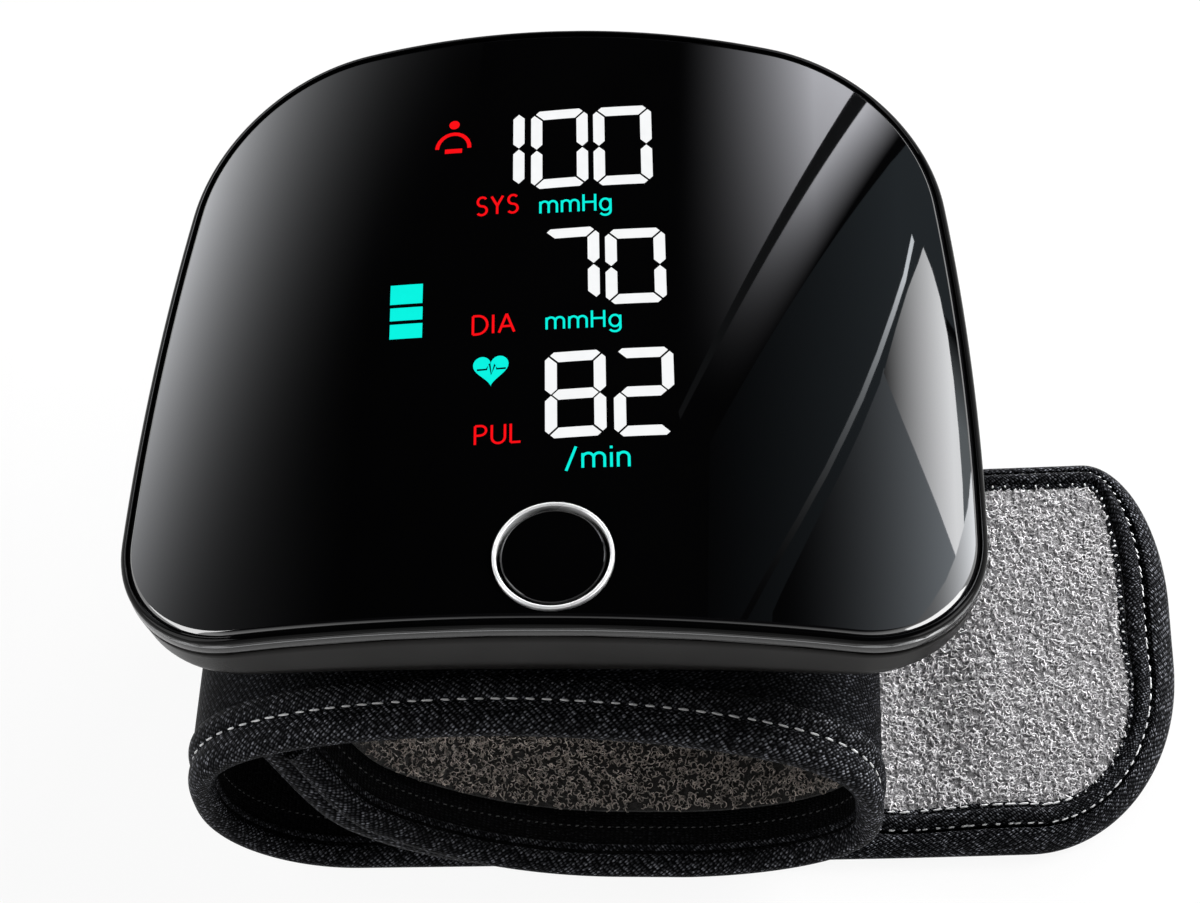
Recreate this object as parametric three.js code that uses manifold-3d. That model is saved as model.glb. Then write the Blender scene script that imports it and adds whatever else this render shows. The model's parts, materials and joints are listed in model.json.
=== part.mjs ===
// Wrist blood pressure monitor: a curved display unit on a wrapped fabric cuff.
// Millimetres, +Z up. The origin is on the table under the unit, X runs across
// the face and Y along the forearm, away from the button.
import * as THREE from 'three';
import { mergeVertices } from 'three/addons/utils/BufferGeometryUtils.js';
import Module from 'manifold-3d';

const wasm = await Module();
wasm.setup();

// Case outline, seen from above
const caseWidth = 84;
const caseLength = 71.7;
const caseFront = -34;
const frontCornerRadius = 12.8;
const shoulderRadius = 21.1;
const sideLean = 7.85;
const shoulderEnd = 82;

// Case section
const caseDepth = 14.8;
const faceRadius = 131.7;
const caseWall = 1.5;
const baseFillet = 7;
const baseCornerGrowth = 0.5;
const wallDraft = 0.25;
const wallShare = 0.42;
const seatGap = 0.3;
const seam = 0.15;
const partingGroove = 0.5;

// How far a cutting block reaches past what it cuts, and a joined piece into its neighbour
const overshoot = 5;
const weld = 0.5;

// Lens, rim and the plate under the lens
const lensThickness = 1.2;
const lensChamfer = 0.3;
const rimWidth = 0.8;
const rimDrop = 0.5;
const bandHeight = 1.65;
const gasketThickness = 0.25;
const gasketWidth = 3;
const skirtWall = 0.75;
const skirtDepth = 1.75;

// Start button and its switch
const buttonX = 1.1;
const buttonFrontMargin = 1.55;
const ringRadius = 5.75;
const ringWidth = 0.5;
const ringProud = 0.15;
const buttonClearance = 0.25;
const buttonProud = 0.1;
const buttonTravel = 0.5;
const buttonEdge = 0.3;
const buttonTabLength = 14;
const buttonTabWidth = 5;
const buttonTabThickness = 0.8;
const switchSize = 6;
const switchWall = 0.35;
const plungerRadius = 1.5;

// Boards and electrical pieces
const boardThickness = 1.2;
const boardAirGap = 1.1;
const boardRight = 23.5;
const boardFrontMargin = 3.8;
const boardBackMargin = 6.7;
const batteryWidth = 30;
const batteryLength = 25;
const batteryHeight = 5;
const batteryRightGap = 5.5;
const batteryBackGap = 4.1;
const displayWidth = 30;
const displayFrontGap = 3.95;
const displayBackMargin = 10.7;
const displayWall = 1.2;
const displayRows = 3;
const usbWidth = 9;
const usbHeight = 3.2;
const usbDepth = 7.4;
const usbShell = 0.35;
const usbBack = 1;
const usbTongueWidth = 6.2;
const usbTongueThickness = 0.7;
const usbTongueInset = 1;
const buzzerRadius = 6;
const buzzerHeight = 3;
const buzzerHole = 1;
const buzzerRightGap = 0.5;
const buzzerBackGap = 6.5;
const postRadius = 1.6;
const postInset = 2.4;

// Air system, laid out in a row along Y on the left
const airX = -20.5;
const pumpRadius = 3.9;
const motorLength = 13;
const chamberLength = 5.8;
const chamberWall = 0.8;
const chamberFloor = 1.4;
const diaphragmThickness = 0.8;
const pumpCapLength = 2.6;
const shaftRadius = 0.75;
const shaftLength = 10;
const camRadius = 2;
const camOffset = 0.6;
const camLength = 2.8;
const rotorClearance = 0.35;
const stubRadius = 1.1;
const stubLength = 2.5;
const airBore = 0.5;
const tubeWall = 0.6;
const manifoldSize = 7;
const manifoldHeight = 6;
const manifoldFrontMargin = 24;
const sensorSize = 6;
const sensorHeight = 3.5;
const valveRadius = 3.5;
const valveLength = 10;
const valveBore = 1.75;
const valveBoreDepth = 8;
const valveTravel = 0.8;
const valvePinRadius = 1.4;
const valvePinLength = 6.9;
const valveSealRadius = 2;
const valveSealThickness = 0.8;
const nozzleRadius = 1.5;
const nozzleClearance = 0.4;

// Case screws
const screwHeadRadius = 1.9;
const screwHeadHeight = 1.1;
const screwRadius = 0.9;
const bossRadius = 2.7;
const screwX = 28;
const screwFrontMargin = 15;
const screwBackMargin = 15.7;
const lowerBossHeight = 4.1;

// Cuff: a strap wrapped a turn and a half, its outer end lying free at the right
const strapThickness = 2.8;
const strapWidth = 47;
const strapFront = -36.6;
const coverThickness = 0.6;
const liningThickness = 0.65;
const stiffenerThickness = 0.5;
const layerGap = 0.12;
const bindingWidth = 4;
const bindingRelief = 0.05;
const bindingRound = 0.95;
const bladderMargin = 4;
const loopCentre = -3.3;
const loopHalfWidth = 35.9;
const loopHeight = 37;
const loopFullness = 0.77;
const loopLowerRadius = 15.6;
const innerTurnRadius = 33;
const innerTurnX = 5;
const innerEndGap = 0.65;
const innerBendX = 12;
const hookThickness = 0.7;
const hookLength = 26;
const skewInner = 2;
const skewTail = 3.2;

// Clip-on seat between case and cuff
const saddleCrown = 0.8;
const saddleFront = -25;
const saddleLength = 29;
const saddleLeft = -26;
const saddleRight = 20;
const clipWidth = 4;
const clipThickness = 1.2;
const clipRise = 2.4;
const clipBarb = 0.5;
const clipX = 8;
const clipFrontInset = 5;
const clipBackInset = 12.3;

// Free end of the cuff
const tailStart = 33;
const tailLength = 32.7;
const tailFrontCornerWidth = 17;
const tailFrontCornerLength = 22;
const tailBackCornerWidth = 9;
const tailBackCornerLength = 18;
const pipingWidth = 1.6;
const pipingHeight = 1.1;
const pileHeight = 0.9;

// Levels that follow from the sizes above
const loopTop = loopHeight;
const baseZ = loopTop + seatGap + saddleCrown + seatGap;
const faceTop = baseZ + caseDepth;
const floorZ = baseZ + caseWall;
const restZ = floorZ + seatGap;
const bandTop = rimDrop + seam;
const bandBottom = bandTop + bandHeight - seam;
const lowerTop = bandBottom + partingGroove;
const gasketTop = lensThickness + seam / 3;
const plateTop = gasketTop + gasketThickness + seam;
const plateBottom = lowerTop - seam;
const plateThickness = plateBottom - plateTop;
const lensInset = rimWidth + seam;
const boardZ = restZ + batteryHeight + 3 * seatGap;
const boardTop = boardZ + boardThickness;

// Places inside the case, measured from its sides
const caseBack = caseFront + caseLength;
const buttonY = caseFront + buttonFrontMargin + ringRadius;
const displayFront = buttonY + ringRadius + displayFrontGap;
const displayBack = caseBack - displayBackMargin;
const manifoldY = caseFront + manifoldFrontMargin;
const boardLeft = airX + pumpRadius + boardAirGap;
const boardFront = caseFront + boardFrontMargin;
const boardBack = caseBack - boardBackMargin;
const usbZ = boardZ - seatGap - usbHeight / 2;
const usbMouth = caseBack - seam - wallDraft - seatGap;
const batteryX = boardRight - batteryRightGap - batteryWidth / 2;
const batteryY = usbMouth - usbDepth - batteryBackGap - batteryLength / 2;
const buzzerX = boardRight - buzzerRightGap - buzzerRadius;
const buzzerY = batteryY - batteryLength / 2 - buzzerBackGap - buzzerRadius;
const screwFrontY = caseFront + screwFrontMargin;
const screwBackY = caseBack - screwBackMargin;

const degrees = Math.PI / 180;

// Solids and booleans

function solid(geometry) {
  const bare = new THREE.BufferGeometry();
  bare.setAttribute('position', geometry.getAttribute('position'));
  bare.setIndex(geometry.index);
  const merged = mergeVertices(bare, 1e-4);
  const kept = [];
  const index = merged.index.array;
  for (let i = 0; i < index.length; i += 3) {
    const [a, b, c] = [index[i], index[i + 1], index[i + 2]];
    if (a !== b && b !== c && c !== a) {
      kept.push(a, b, c);
    }
  }
  const vertProperties = new Float32Array(merged.getAttribute('position').array);
  return new wasm.Manifold(new wasm.Mesh({ numProp: 3, vertProperties, triVerts: new Uint32Array(kept) }));
}

function geometryOf(body) {
  const mesh = body.getMesh();
  const geometry = new THREE.BufferGeometry();
  geometry.setAttribute('position', new THREE.BufferAttribute(new Float32Array(mesh.vertProperties), 3));
  geometry.setIndex(new THREE.BufferAttribute(new Uint32Array(mesh.triVerts), 1));
  return geometry;
}

function join(first, ...others) {
  return others.reduce((body, other) => body.add(other), first);
}

function cut(first, ...others) {
  return others.reduce((body, other) => body.subtract(other), first);
}

// A closed skin from points and triangles, turned to face outward
function skin(points, triangles) {
  let volume = 0;
  for (const [a, b, c] of triangles) {
    volume += points[a].dot(new THREE.Vector3().crossVectors(points[b], points[c]));
  }
  const index = triangles.flatMap(([a, b, c]) => (volume > 0 ? [a, b, c] : [a, c, b]));
  const geometry = new THREE.BufferGeometry();
  const numbers = points.flatMap((p) => [p.x, p.y, p.z]);
  geometry.setAttribute('position', new THREE.Float32BufferAttribute(numbers, 3));
  geometry.setIndex(index);
  return solid(geometry);
}

function wallBetween(rings, closed) {
  const count = rings[0].length;
  const triangles = [];
  const spans = closed ? rings.length : rings.length - 1;
  for (let k = 0; k < spans; k += 1) {
    const next = (k + 1) % rings.length;
    for (let i = 0; i < count; i += 1) {
      const j = (i + 1) % count;
      triangles.push([k * count + i, k * count + j, next * count + j]);
      triangles.push([k * count + i, next * count + j, next * count + i]);
    }
  }
  return triangles;
}

// A solid through convex rings, closed by a fan at each end
function loft(rings) {
  const count = rings[0].length;
  const points = rings.flat();
  const triangles = wallBetween(rings, false);
  const ends = [[0, true], [rings.length - 1, false]];
  for (const [k, first] of ends) {
    const centre = new THREE.Vector3();
    rings[k].forEach((p) => centre.addScaledVector(p, 1 / count));
    const hub = points.push(centre) - 1;
    for (let i = 0; i < count; i += 1) {
      const a = k * count + i;
      const b = k * count + (i + 1) % count;
      triangles.push(first ? [hub, b, a] : [hub, a, b]);
    }
  }
  return skin(points, triangles);
}

// A frame whose section runs right round an outline
function frame(rings) {
  return skin(rings.flat(), wallBetween(rings, true));
}

function box(x0, x1, y0, y1, z0, z1) {
  const geometry = new THREE.BoxGeometry(x1 - x0, y1 - y0, z1 - z0);
  geometry.translate((x0 + x1) / 2, (y0 + y1) / 2, (z0 + z1) / 2);
  return solid(geometry);
}

function rodZ(radius, x, y, z0, z1, sides = 24) {
  const geometry = new THREE.CylinderGeometry(radius, radius, z1 - z0, sides);
  geometry.rotateX(Math.PI / 2);
  geometry.translate(x, y, (z0 + z1) / 2);
  return solid(geometry);
}

function rodY(radius, x, z, y0, y1, sides = 16) {
  const geometry = new THREE.CylinderGeometry(radius, radius, y1 - y0, sides);
  geometry.translate(x, (y0 + y1) / 2, z);
  return solid(geometry);
}

function rodX(radius, y, z, x0, x1, sides = 16) {
  const geometry = new THREE.CylinderGeometry(radius, radius, x1 - x0, sides);
  geometry.rotateZ(Math.PI / 2);
  geometry.translate((x0 + x1) / 2, y, z);
  return solid(geometry);
}

// Turned pieces: profile pairs are radius and height
function turned(profile, x, y, sides = 32) {
  const geometry = new THREE.LatheGeometry(profile.map(([r, h]) => new THREE.Vector2(r, h)), sides);
  geometry.rotateX(Math.PI / 2);
  geometry.translate(x, y, 0);
  return solid(geometry);
}

function plan(shape, z0, z1, segments = 6) {
  const geometry = new THREE.ExtrudeGeometry(shape, {
    depth: z1 - z0,
    bevelEnabled: false,
    curveSegments: segments,
  });
  geometry.translate(0, 0, z0);
  return solid(geometry);
}

// Case outline: straight front, round front corners, leaning sides, wide shoulders, bowed back

function outline(inset, cornerGrowth = 0) {
  const corner = frontCornerRadius + cornerGrowth;
  const lean = sideLean * degrees;
  const end = shoulderEnd * degrees;
  const half = caseWidth / 2;
  const shoulderRun = shoulderRadius * (Math.cos(lean) - Math.cos(end));
  const shoulderRise = shoulderRadius * (Math.sin(end) - Math.sin(lean));
  const bow = (1 - Math.sin(end)) / Math.cos(end);
  const leanIn = (1 - Math.cos(lean)) / Math.sin(lean);
  const side = (caseLength - corner - shoulderRise - (half - shoulderRun) * bow) / (1 - leanIn * bow);
  const sideRadius = side / Math.sin(lean);
  const sideX = half - sideRadius;
  const sideY = caseFront + corner;
  const shoulderX = sideX + (sideRadius - shoulderRadius) * Math.cos(lean);
  const shoulderY = sideY + (sideRadius - shoulderRadius) * Math.sin(lean);
  const backRadius = shoulderRadius + shoulderX / Math.cos(end);
  const backY = shoulderY + (shoulderRadius - backRadius) * Math.sin(end);
  const right = [];
  const frontRun = half - corner;
  const frontSteps = 3;
  for (let i = 0; i < frontSteps; i += 1) {
    right.push([frontRun * (i + 0.5) / frontSteps, caseFront + inset]);
  }
  const arc = (x, y, radius, from, to, steps) => {
    for (let i = 0; i < steps; i += 1) {
      const angle = from + (to - from) * i / steps;
      right.push([x + (radius - inset) * Math.cos(angle), y + (radius - inset) * Math.sin(angle)]);
    }
  };
  arc(frontRun, sideY, corner, -Math.PI / 2, 0, 6);
  arc(sideX, sideY, sideRadius, 0, lean, 3);
  arc(shoulderX, shoulderY, shoulderRadius, lean, end, 7);
  arc(0, backY, backRadius, end, Math.PI / 2, 3);
  const crest = 0.5;
  right.push([crest, backY + Math.sqrt((backRadius - inset) ** 2 - crest ** 2)]);
  const left = right.map(([x, y]) => [-x, y]).reverse();
  return [...right, ...left];
}

// Height of the face, or of a surface a given depth under it
function faceAt(x, depth = 0) {
  return faceTop - faceRadius + Math.sqrt((faceRadius - depth) ** 2 - x * x);
}

function faceRing(inset, depth, cornerGrowth = 0) {
  return outline(inset, cornerGrowth).map(([x, y]) => new THREE.Vector3(x, y, faceAt(x, depth)));
}

function flatRing(inset, z) {
  return outline(inset).map(([x, y]) => new THREE.Vector3(x, y, z));
}

// A straight-sided block of the outline, taller than the case
function block(inset) {
  return loft([flatRing(inset, baseZ - overshoot), flatRing(inset, faceTop + overshoot)]);
}

function faceFrame(profile, cornerGrowth = 0) {
  return frame(profile.map(([inset, depth]) => faceRing(inset, depth, cornerGrowth)));
}

// Everything that lies deeper than a given depth under the face
function under(depth) {
  const reach = caseWidth / 2 + overshoot;
  const steps = 20;
  const limit = Math.asin(reach / (faceRadius - depth));
  const section = [[reach, baseZ - caseDepth], [-reach, baseZ - caseDepth]];
  for (let i = 0; i <= steps; i += 1) {
    const angle = -limit + 2 * limit * i / steps;
    const x = (faceRadius - depth) * Math.sin(angle);
    section.push([x, faceAt(x, depth)]);
  }
  const ringAt = (y) => section.map(([x, z]) => new THREE.Vector3(x, y, z));
  return loft([ringAt(caseFront - overshoot), ringAt(caseBack + overshoot)]);
}

function sheet(inset, top, bottom) {
  return cut(block(inset).intersect(under(top)), under(bottom));
}

// Lower case: the wall runs down from the parting line and rounds into a flat base

function tub(extra, bottomZ, turnSteps) {
  const levels = [[0, 0], [wallDraft, wallShare]];
  for (let i = 1; i <= turnSteps; i += 1) {
    const angle = Math.PI / 2 * i / turnSteps;
    const inset = wallDraft + baseFillet * (1 - Math.cos(angle));
    levels.push([inset, wallShare + (1 - wallShare) * Math.sin(angle)]);
  }
  const rings = levels.map(([inset, share]) => outline(seam + extra + inset, baseCornerGrowth * share)
    .map(([x, y]) => {
      const top = faceAt(x, lowerTop);
      return new THREE.Vector3(x, y, top + share * (bottomZ - top));
    }));
  return loft([flatRing(seam + extra, faceTop + overshoot), ...rings]);
}

const screwSpots = [
  [screwX, screwFrontY],
  [-screwX, screwFrontY],
  [screwX, screwBackY],
  [-screwX, screwBackY],
];
const postSpots = [
  [boardLeft + postInset, boardFront + postInset],
  [boardRight - postInset, boardFront + postInset],
  [boardLeft + postInset, boardBack - postInset],
  [boardRight - postInset, boardBack - postInset],
];
const saddleBack = saddleFront + saddleLength;
const clipSpots = [-1, 1].flatMap((side) => [
  [loopCentre + side * clipX, saddleFront + clipFrontInset],
  [loopCentre + side * clipX, saddleBack - clipBackInset],
]);
const screwHole = screwRadius + seatGap;
const bossTop = floorZ + lowerBossHeight;

function lowerCase() {
  let body = tub(0, baseZ, 5).intersect(under(lowerTop));
  body = cut(body, tub(caseWall, floorZ, 3));
  for (const [x, y] of screwSpots) {
    body = body.add(rodZ(bossRadius, x, y, baseZ + caseWall / 2, bossTop, 16));
  }
  for (const [x, y] of postSpots) {
    body = body.add(rodZ(postRadius, x, y, baseZ + caseWall * 0.6, boardZ - seatGap, 10));
  }
  for (const [x, y] of screwSpots) {
    body = cut(
      body,
      rodZ(screwHole, x, y, baseZ - overshoot, bossTop + overshoot, 10),
      rodZ(screwHeadRadius + seatGap, x, y, baseZ - overshoot, baseZ + screwHeadHeight + seatGap, 14),
    );
  }
  const slotX = clipWidth / 2 + seatGap;
  const slotY = clipThickness / 2 + clipBarb + seatGap;
  for (const [x, y] of clipSpots) {
    body = cut(body, box(x - slotX, x + slotX, y - slotY, y + slotY, baseZ - weld, floorZ + weld));
  }
  const usbX = usbWidth / 2 + seatGap;
  const usbRise = usbHeight / 2 + seatGap;
  return cut(
    body,
    rodZ(nozzleHole, airX, manifoldY, baseZ - weld, floorZ + weld),
    box(-usbX, usbX, usbMouth - caseWall * 3, usbMouth + overshoot, usbZ - usbRise, usbZ + usbRise),
  );
}

function upperCase() {
  const bandInset = seam / 3;
  const band = faceFrame([
    [bandInset, bandTop], [bandInset, bandBottom], [rimWidth, bandBottom], [rimWidth, bandTop],
  ]);
  const skirtOuter = seam + wallDraft + caseWall + seatGap;
  const skirtBottom = plateBottom + skirtDepth;
  const skirtShare = (skirtBottom - lowerTop) / (faceAt(caseWidth / 2, lowerTop) - floorZ);
  const skirt = faceFrame([
    [skirtOuter, plateTop + plateThickness / 2], [skirtOuter, skirtBottom],
    [skirtOuter + skirtWall, skirtBottom], [skirtOuter + skirtWall, plateTop + plateThickness / 2],
  ], baseCornerGrowth * skirtShare);
  let body = join(band, sheet((bandInset + rimWidth) / 2, plateTop, plateBottom), skirt);
  for (const [x, y] of screwSpots) {
    const top = faceAt(x, plateTop + plateThickness / 2);
    const boss = rodZ(bossRadius - seatGap, x, y, bossTop + seam, top, 16);
    body = body.add(cut(boss, rodZ(screwHole, x, y, bossTop - weld, top - plateThickness, 10)));
  }
  const windowX = displayWidth / 2 + seatGap;
  return cut(
    body,
    box(-windowX, windowX, displayFront - seatGap, displayBack + seatGap, boardTop, faceTop),
    rodZ(ringRadius - ringWidth + buttonClearance / 2, buttonX, buttonY, boardTop, faceTop, 40),
  );
}

function frontLens() {
  const edge = loft([
    flatRing(lensInset, baseZ - overshoot),
    faceRing(lensInset, lensChamfer),
    faceRing(lensInset + lensChamfer + weld, -weld),
    flatRing(lensInset + lensChamfer + weld, faceTop + overshoot),
  ]);
  const body = cut(edge.intersect(under(0)), under(lensThickness));
  const hole = rodZ(ringRadius + seam, buttonX, buttonY, faceTop - overshoot, faceTop + overshoot, 48);
  return cut(body, hole);
}

function bezelRing() {
  return faceFrame([
    [rimWidth, rimDrop],
    [rimWidth, 0.12],
    [rimWidth * 0.85, 0.02],
    [rimWidth * 0.55, 0.02],
    [rimWidth * 0.25, 0.12],
    [rimWidth * 0.06, rimDrop * 0.55],
    [0, rimDrop],
  ]);
}

function lensGasket() {
  const top = gasketTop;
  const bottom = gasketTop + gasketThickness;
  const inset = lensInset + seatGap;
  const body = cut(sheet(inset, top, bottom), block(inset + gasketWidth));
  const hole = rodZ(ringRadius + seatGap, buttonX, buttonY, faceTop - overshoot, faceTop + overshoot, 40);
  return cut(body, hole);
}

// Button, ring and switch
const buttonFace = faceAt(buttonX);
const capRadius = ringRadius - ringWidth - buttonClearance;
const tabTop = faceAt(buttonX + buttonTabLength / 2, plateBottom) - seatGap;
const tabBottom = tabTop - buttonTabThickness;
const plungerTop = tabBottom - seam;
const switchTop = plungerTop - buttonTravel - seam;
const switchBottom = boardTop + seam;

function buttonRing() {
  const bottom = buttonFace - plateTop + seam;
  const top = buttonFace + ringProud;
  const inner = ringRadius - ringWidth;
  const bevel = ringWidth * 0.3;
  return turned([
    [inner, bottom],
    [ringRadius, bottom],
    [ringRadius, top - bevel],
    [ringRadius - bevel, top],
    [inner + bevel, top],
    [inner, top - bevel],
    [inner, bottom],
  ], buttonX, buttonY, 48);
}

function startButton() {
  const top = buttonFace + buttonProud;
  const cap = turned([
    [0, tabBottom],
    [capRadius, tabBottom],
    [capRadius, top - buttonEdge],
    [capRadius - buttonEdge, top],
    [0, top],
  ], buttonX, buttonY, 40);
  const tabX = buttonTabLength / 2;
  const tabY = buttonTabWidth / 2;
  return cap.add(box(
    buttonX - tabX, buttonX + tabX, buttonY - tabY, buttonY + tabY, tabBottom, tabTop,
  ));
}

function switchBody() {
  const half = switchSize / 2;
  const body = box(buttonX - half, buttonX + half, buttonY - half, buttonY + half, switchBottom, switchTop);
  const well = rodZ(plungerRadius + seatGap, buttonX, buttonY, switchBottom + switchWall, switchTop + weld);
  return cut(body, well);
}

function switchPlunger() {
  const bottom = switchBottom + switchWall + seam + buttonTravel;
  return rodZ(plungerRadius, buttonX, buttonY, bottom, plungerTop);
}

// Boards, battery, socket and buzzer

function mainBoard() {
  return box(boardLeft, boardRight, boardFront, boardBack, boardZ, boardTop);
}

function displayLightBox() {
  const top = faceAt(displayWidth / 2, lensThickness) - seatGap;
  const bottom = boardTop + seam;
  const half = displayWidth / 2;
  let body = box(-half, half, displayFront, displayBack, bottom, top);
  const pitch = (displayBack - displayFront - displayWall) / displayRows;
  for (let row = 0; row < displayRows; row += 1) {
    const y = displayFront + displayWall + row * pitch;
    body = cut(body, box(
      -half + displayWall, half - displayWall, y, y + pitch - displayWall, bottom + displayWall, top + weld,
    ));
  }
  return body;
}

function batteryCell() {
  return box(
    batteryX - batteryWidth / 2, batteryX + batteryWidth / 2,
    batteryY - batteryLength / 2, batteryY + batteryLength / 2,
    restZ, restZ + batteryHeight,
  );
}

function usbSocket() {
  const half = usbWidth / 2;
  const rise = usbHeight / 2;
  const inX = half - usbShell;
  const inZ = rise - usbShell;
  const shell = cut(
    box(-half, half, usbMouth - usbDepth, usbMouth, usbZ - rise, usbZ + rise),
    box(-inX, inX, usbMouth - usbDepth + usbBack, usbMouth + overshoot, usbZ - inZ, usbZ + inZ),
  );
  const tongueX = usbTongueWidth / 2;
  const tongueZ = usbTongueThickness / 2;
  const tongueBack = usbMouth - usbDepth + usbBack / 2;
  const tongueFront = usbMouth - usbTongueInset;
  return shell.add(box(-tongueX, tongueX, tongueBack, tongueFront, usbZ - tongueZ, usbZ + tongueZ));
}

function buzzer() {
  const top = restZ + buzzerHeight;
  const can = rodZ(buzzerRadius, buzzerX, buzzerY, restZ, top, 20);
  return cut(can, rodZ(buzzerHole, buzzerX, buzzerY, top - buzzerHeight / 2, top + weld, 12));
}

// Air system
const pumpZ = restZ + pumpRadius;
const manifoldBack = manifoldY + manifoldSize / 2;
const manifoldFront = manifoldY - manifoldSize / 2;
const capFront = manifoldBack + 2 * stubLength + seatGap;
const capBack = capFront + pumpCapLength;
const chamberFront = capBack + diaphragmThickness + 2 * seam;
const chamberBack = chamberFront + chamberLength;
const motorFront = chamberBack + seam;
const camFront = chamberFront + chamberFloor + seatGap;
const sensorX = airX + manifoldSize / 2 + 2 * stubLength + seatGap + sensorSize / 2;
const tubeRadius = stubRadius + seatGap + tubeWall;
const sensorZ = boardZ - seatGap - tubeRadius;
const valveFront = manifoldFront - seatGap - valveSealThickness - valveTravel - seatGap;

function pumpMotor() {
  const can = rodY(pumpRadius, airX, pumpZ, motorFront, motorFront + motorLength, 20);
  const boreEnd = camFront + shaftLength + seatGap;
  return cut(can, rodY(shaftRadius + rotorClearance, airX, pumpZ, motorFront - weld, boreEnd, 16));
}

function pumpRotor() {
  const cam = rodY(camRadius, airX + camOffset, pumpZ, camFront, camFront + camLength, 24);
  return cam.add(rodY(shaftRadius, airX, pumpZ, camFront, camFront + shaftLength, 16));
}

function pumpChamber() {
  const shell = rodY(pumpRadius, airX, pumpZ, chamberFront, chamberBack, 20);
  const bore = pumpRadius - chamberWall;
  return cut(shell, rodY(bore, airX, pumpZ, chamberFront + chamberFloor, chamberBack + weld, 24));
}

function pumpDiaphragm() {
  const front = capBack + seam;
  return rodY(pumpRadius, airX, pumpZ, front, front + diaphragmThickness, 20);
}

function pumpCap() {
  const cap = rodY(pumpRadius, airX, pumpZ, capFront, capBack, 20);
  const stub = rodY(stubRadius, airX, pumpZ, capFront - stubLength, capFront + weld, 12);
  return cut(cap.add(stub), rodY(airBore, airX, pumpZ, capFront - stubLength - weld, capBack + weld, 10));
}

function airManifold() {
  const half = manifoldSize / 2;
  const block = box(airX - half, airX + half, manifoldFront, manifoldBack, restZ, restZ + manifoldHeight);
  const nozzleEnd = archHeight(airX + nozzleRadius, bladderTop) + seatGap;
  const body = join(
    block,
    rodY(stubRadius, airX, pumpZ, manifoldBack - weld, manifoldBack + stubLength, 16),
    rodX(stubRadius, manifoldY, sensorZ, airX + half - weld, airX + half + stubLength, 16),
    rodZ(nozzleRadius, airX, manifoldY, nozzleEnd, restZ + weld, 16),
  );
  return cut(
    body,
    rodY(airBore, airX, pumpZ, manifoldFront - weld, manifoldBack + stubLength + weld, 10),
    rodX(airBore, manifoldY, sensorZ, airX, airX + half + stubLength + weld, 10),
    rodZ(airBore, airX, manifoldY, nozzleEnd - weld, pumpZ, 10),
  );
}

function pumpTube() {
  const y0 = manifoldBack + seatGap / 2;
  const y1 = capFront - seatGap / 2;
  return cut(
    rodY(tubeRadius, airX, pumpZ, y0, y1),
    rodY(tubeRadius - tubeWall, airX, pumpZ, y0 - weld, y1 + weld),
  );
}

function sensorTube() {
  const x0 = airX + manifoldSize / 2 + seatGap / 2;
  const x1 = sensorX - sensorSize / 2 - seatGap / 2;
  return cut(
    rodX(tubeRadius, manifoldY, sensorZ, x0, x1),
    rodX(tubeRadius - tubeWall, manifoldY, sensorZ, x0 - weld, x1 + weld),
  );
}

function pressureSensor() {
  const half = sensorSize / 2;
  const top = boardZ - seam;
  const left = sensorX - half;
  const body = box(left, sensorX + half, manifoldY - half, manifoldY + half, top - sensorHeight, top);
  const stub = rodX(stubRadius, manifoldY, sensorZ, left - stubLength, left + weld, 16);
  return cut(body.add(stub), rodX(airBore, manifoldY, sensorZ, left - stubLength - weld, sensorX, 10));
}

function valveBody() {
  const z = restZ + valveRadius;
  const can = rodY(valveRadius, airX, z, valveFront - valveLength, valveFront, 24);
  return cut(can, rodY(valveBore, airX, z, valveFront - valveBoreDepth, valveFront + weld, 20));
}

function valvePlunger() {
  const z = restZ + valveRadius;
  const seal = manifoldFront - seatGap;
  const pin = rodY(valvePinRadius, airX, z, seal - valvePinLength, seal - valveSealThickness / 2, 20);
  return pin.add(rodY(valveSealRadius, airX, z, seal - valveSealThickness, seal, 20));
}

function caseScrew([x, y]) {
  const head = baseZ + seam;
  const shoulder = head + screwHeadHeight;
  const tip = faceAt(x, plateTop + plateThickness / 2) - plateThickness - seatGap;
  return turned([
    [0, head],
    [screwHeadRadius, head],
    [screwHeadRadius, shoulder],
    [screwRadius, shoulder],
    [screwRadius, tip],
    [0, tip],
  ], x, y, 14);
}

// Strap route in the X and Z plane, from its inner end, round the loop, to the table

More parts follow.
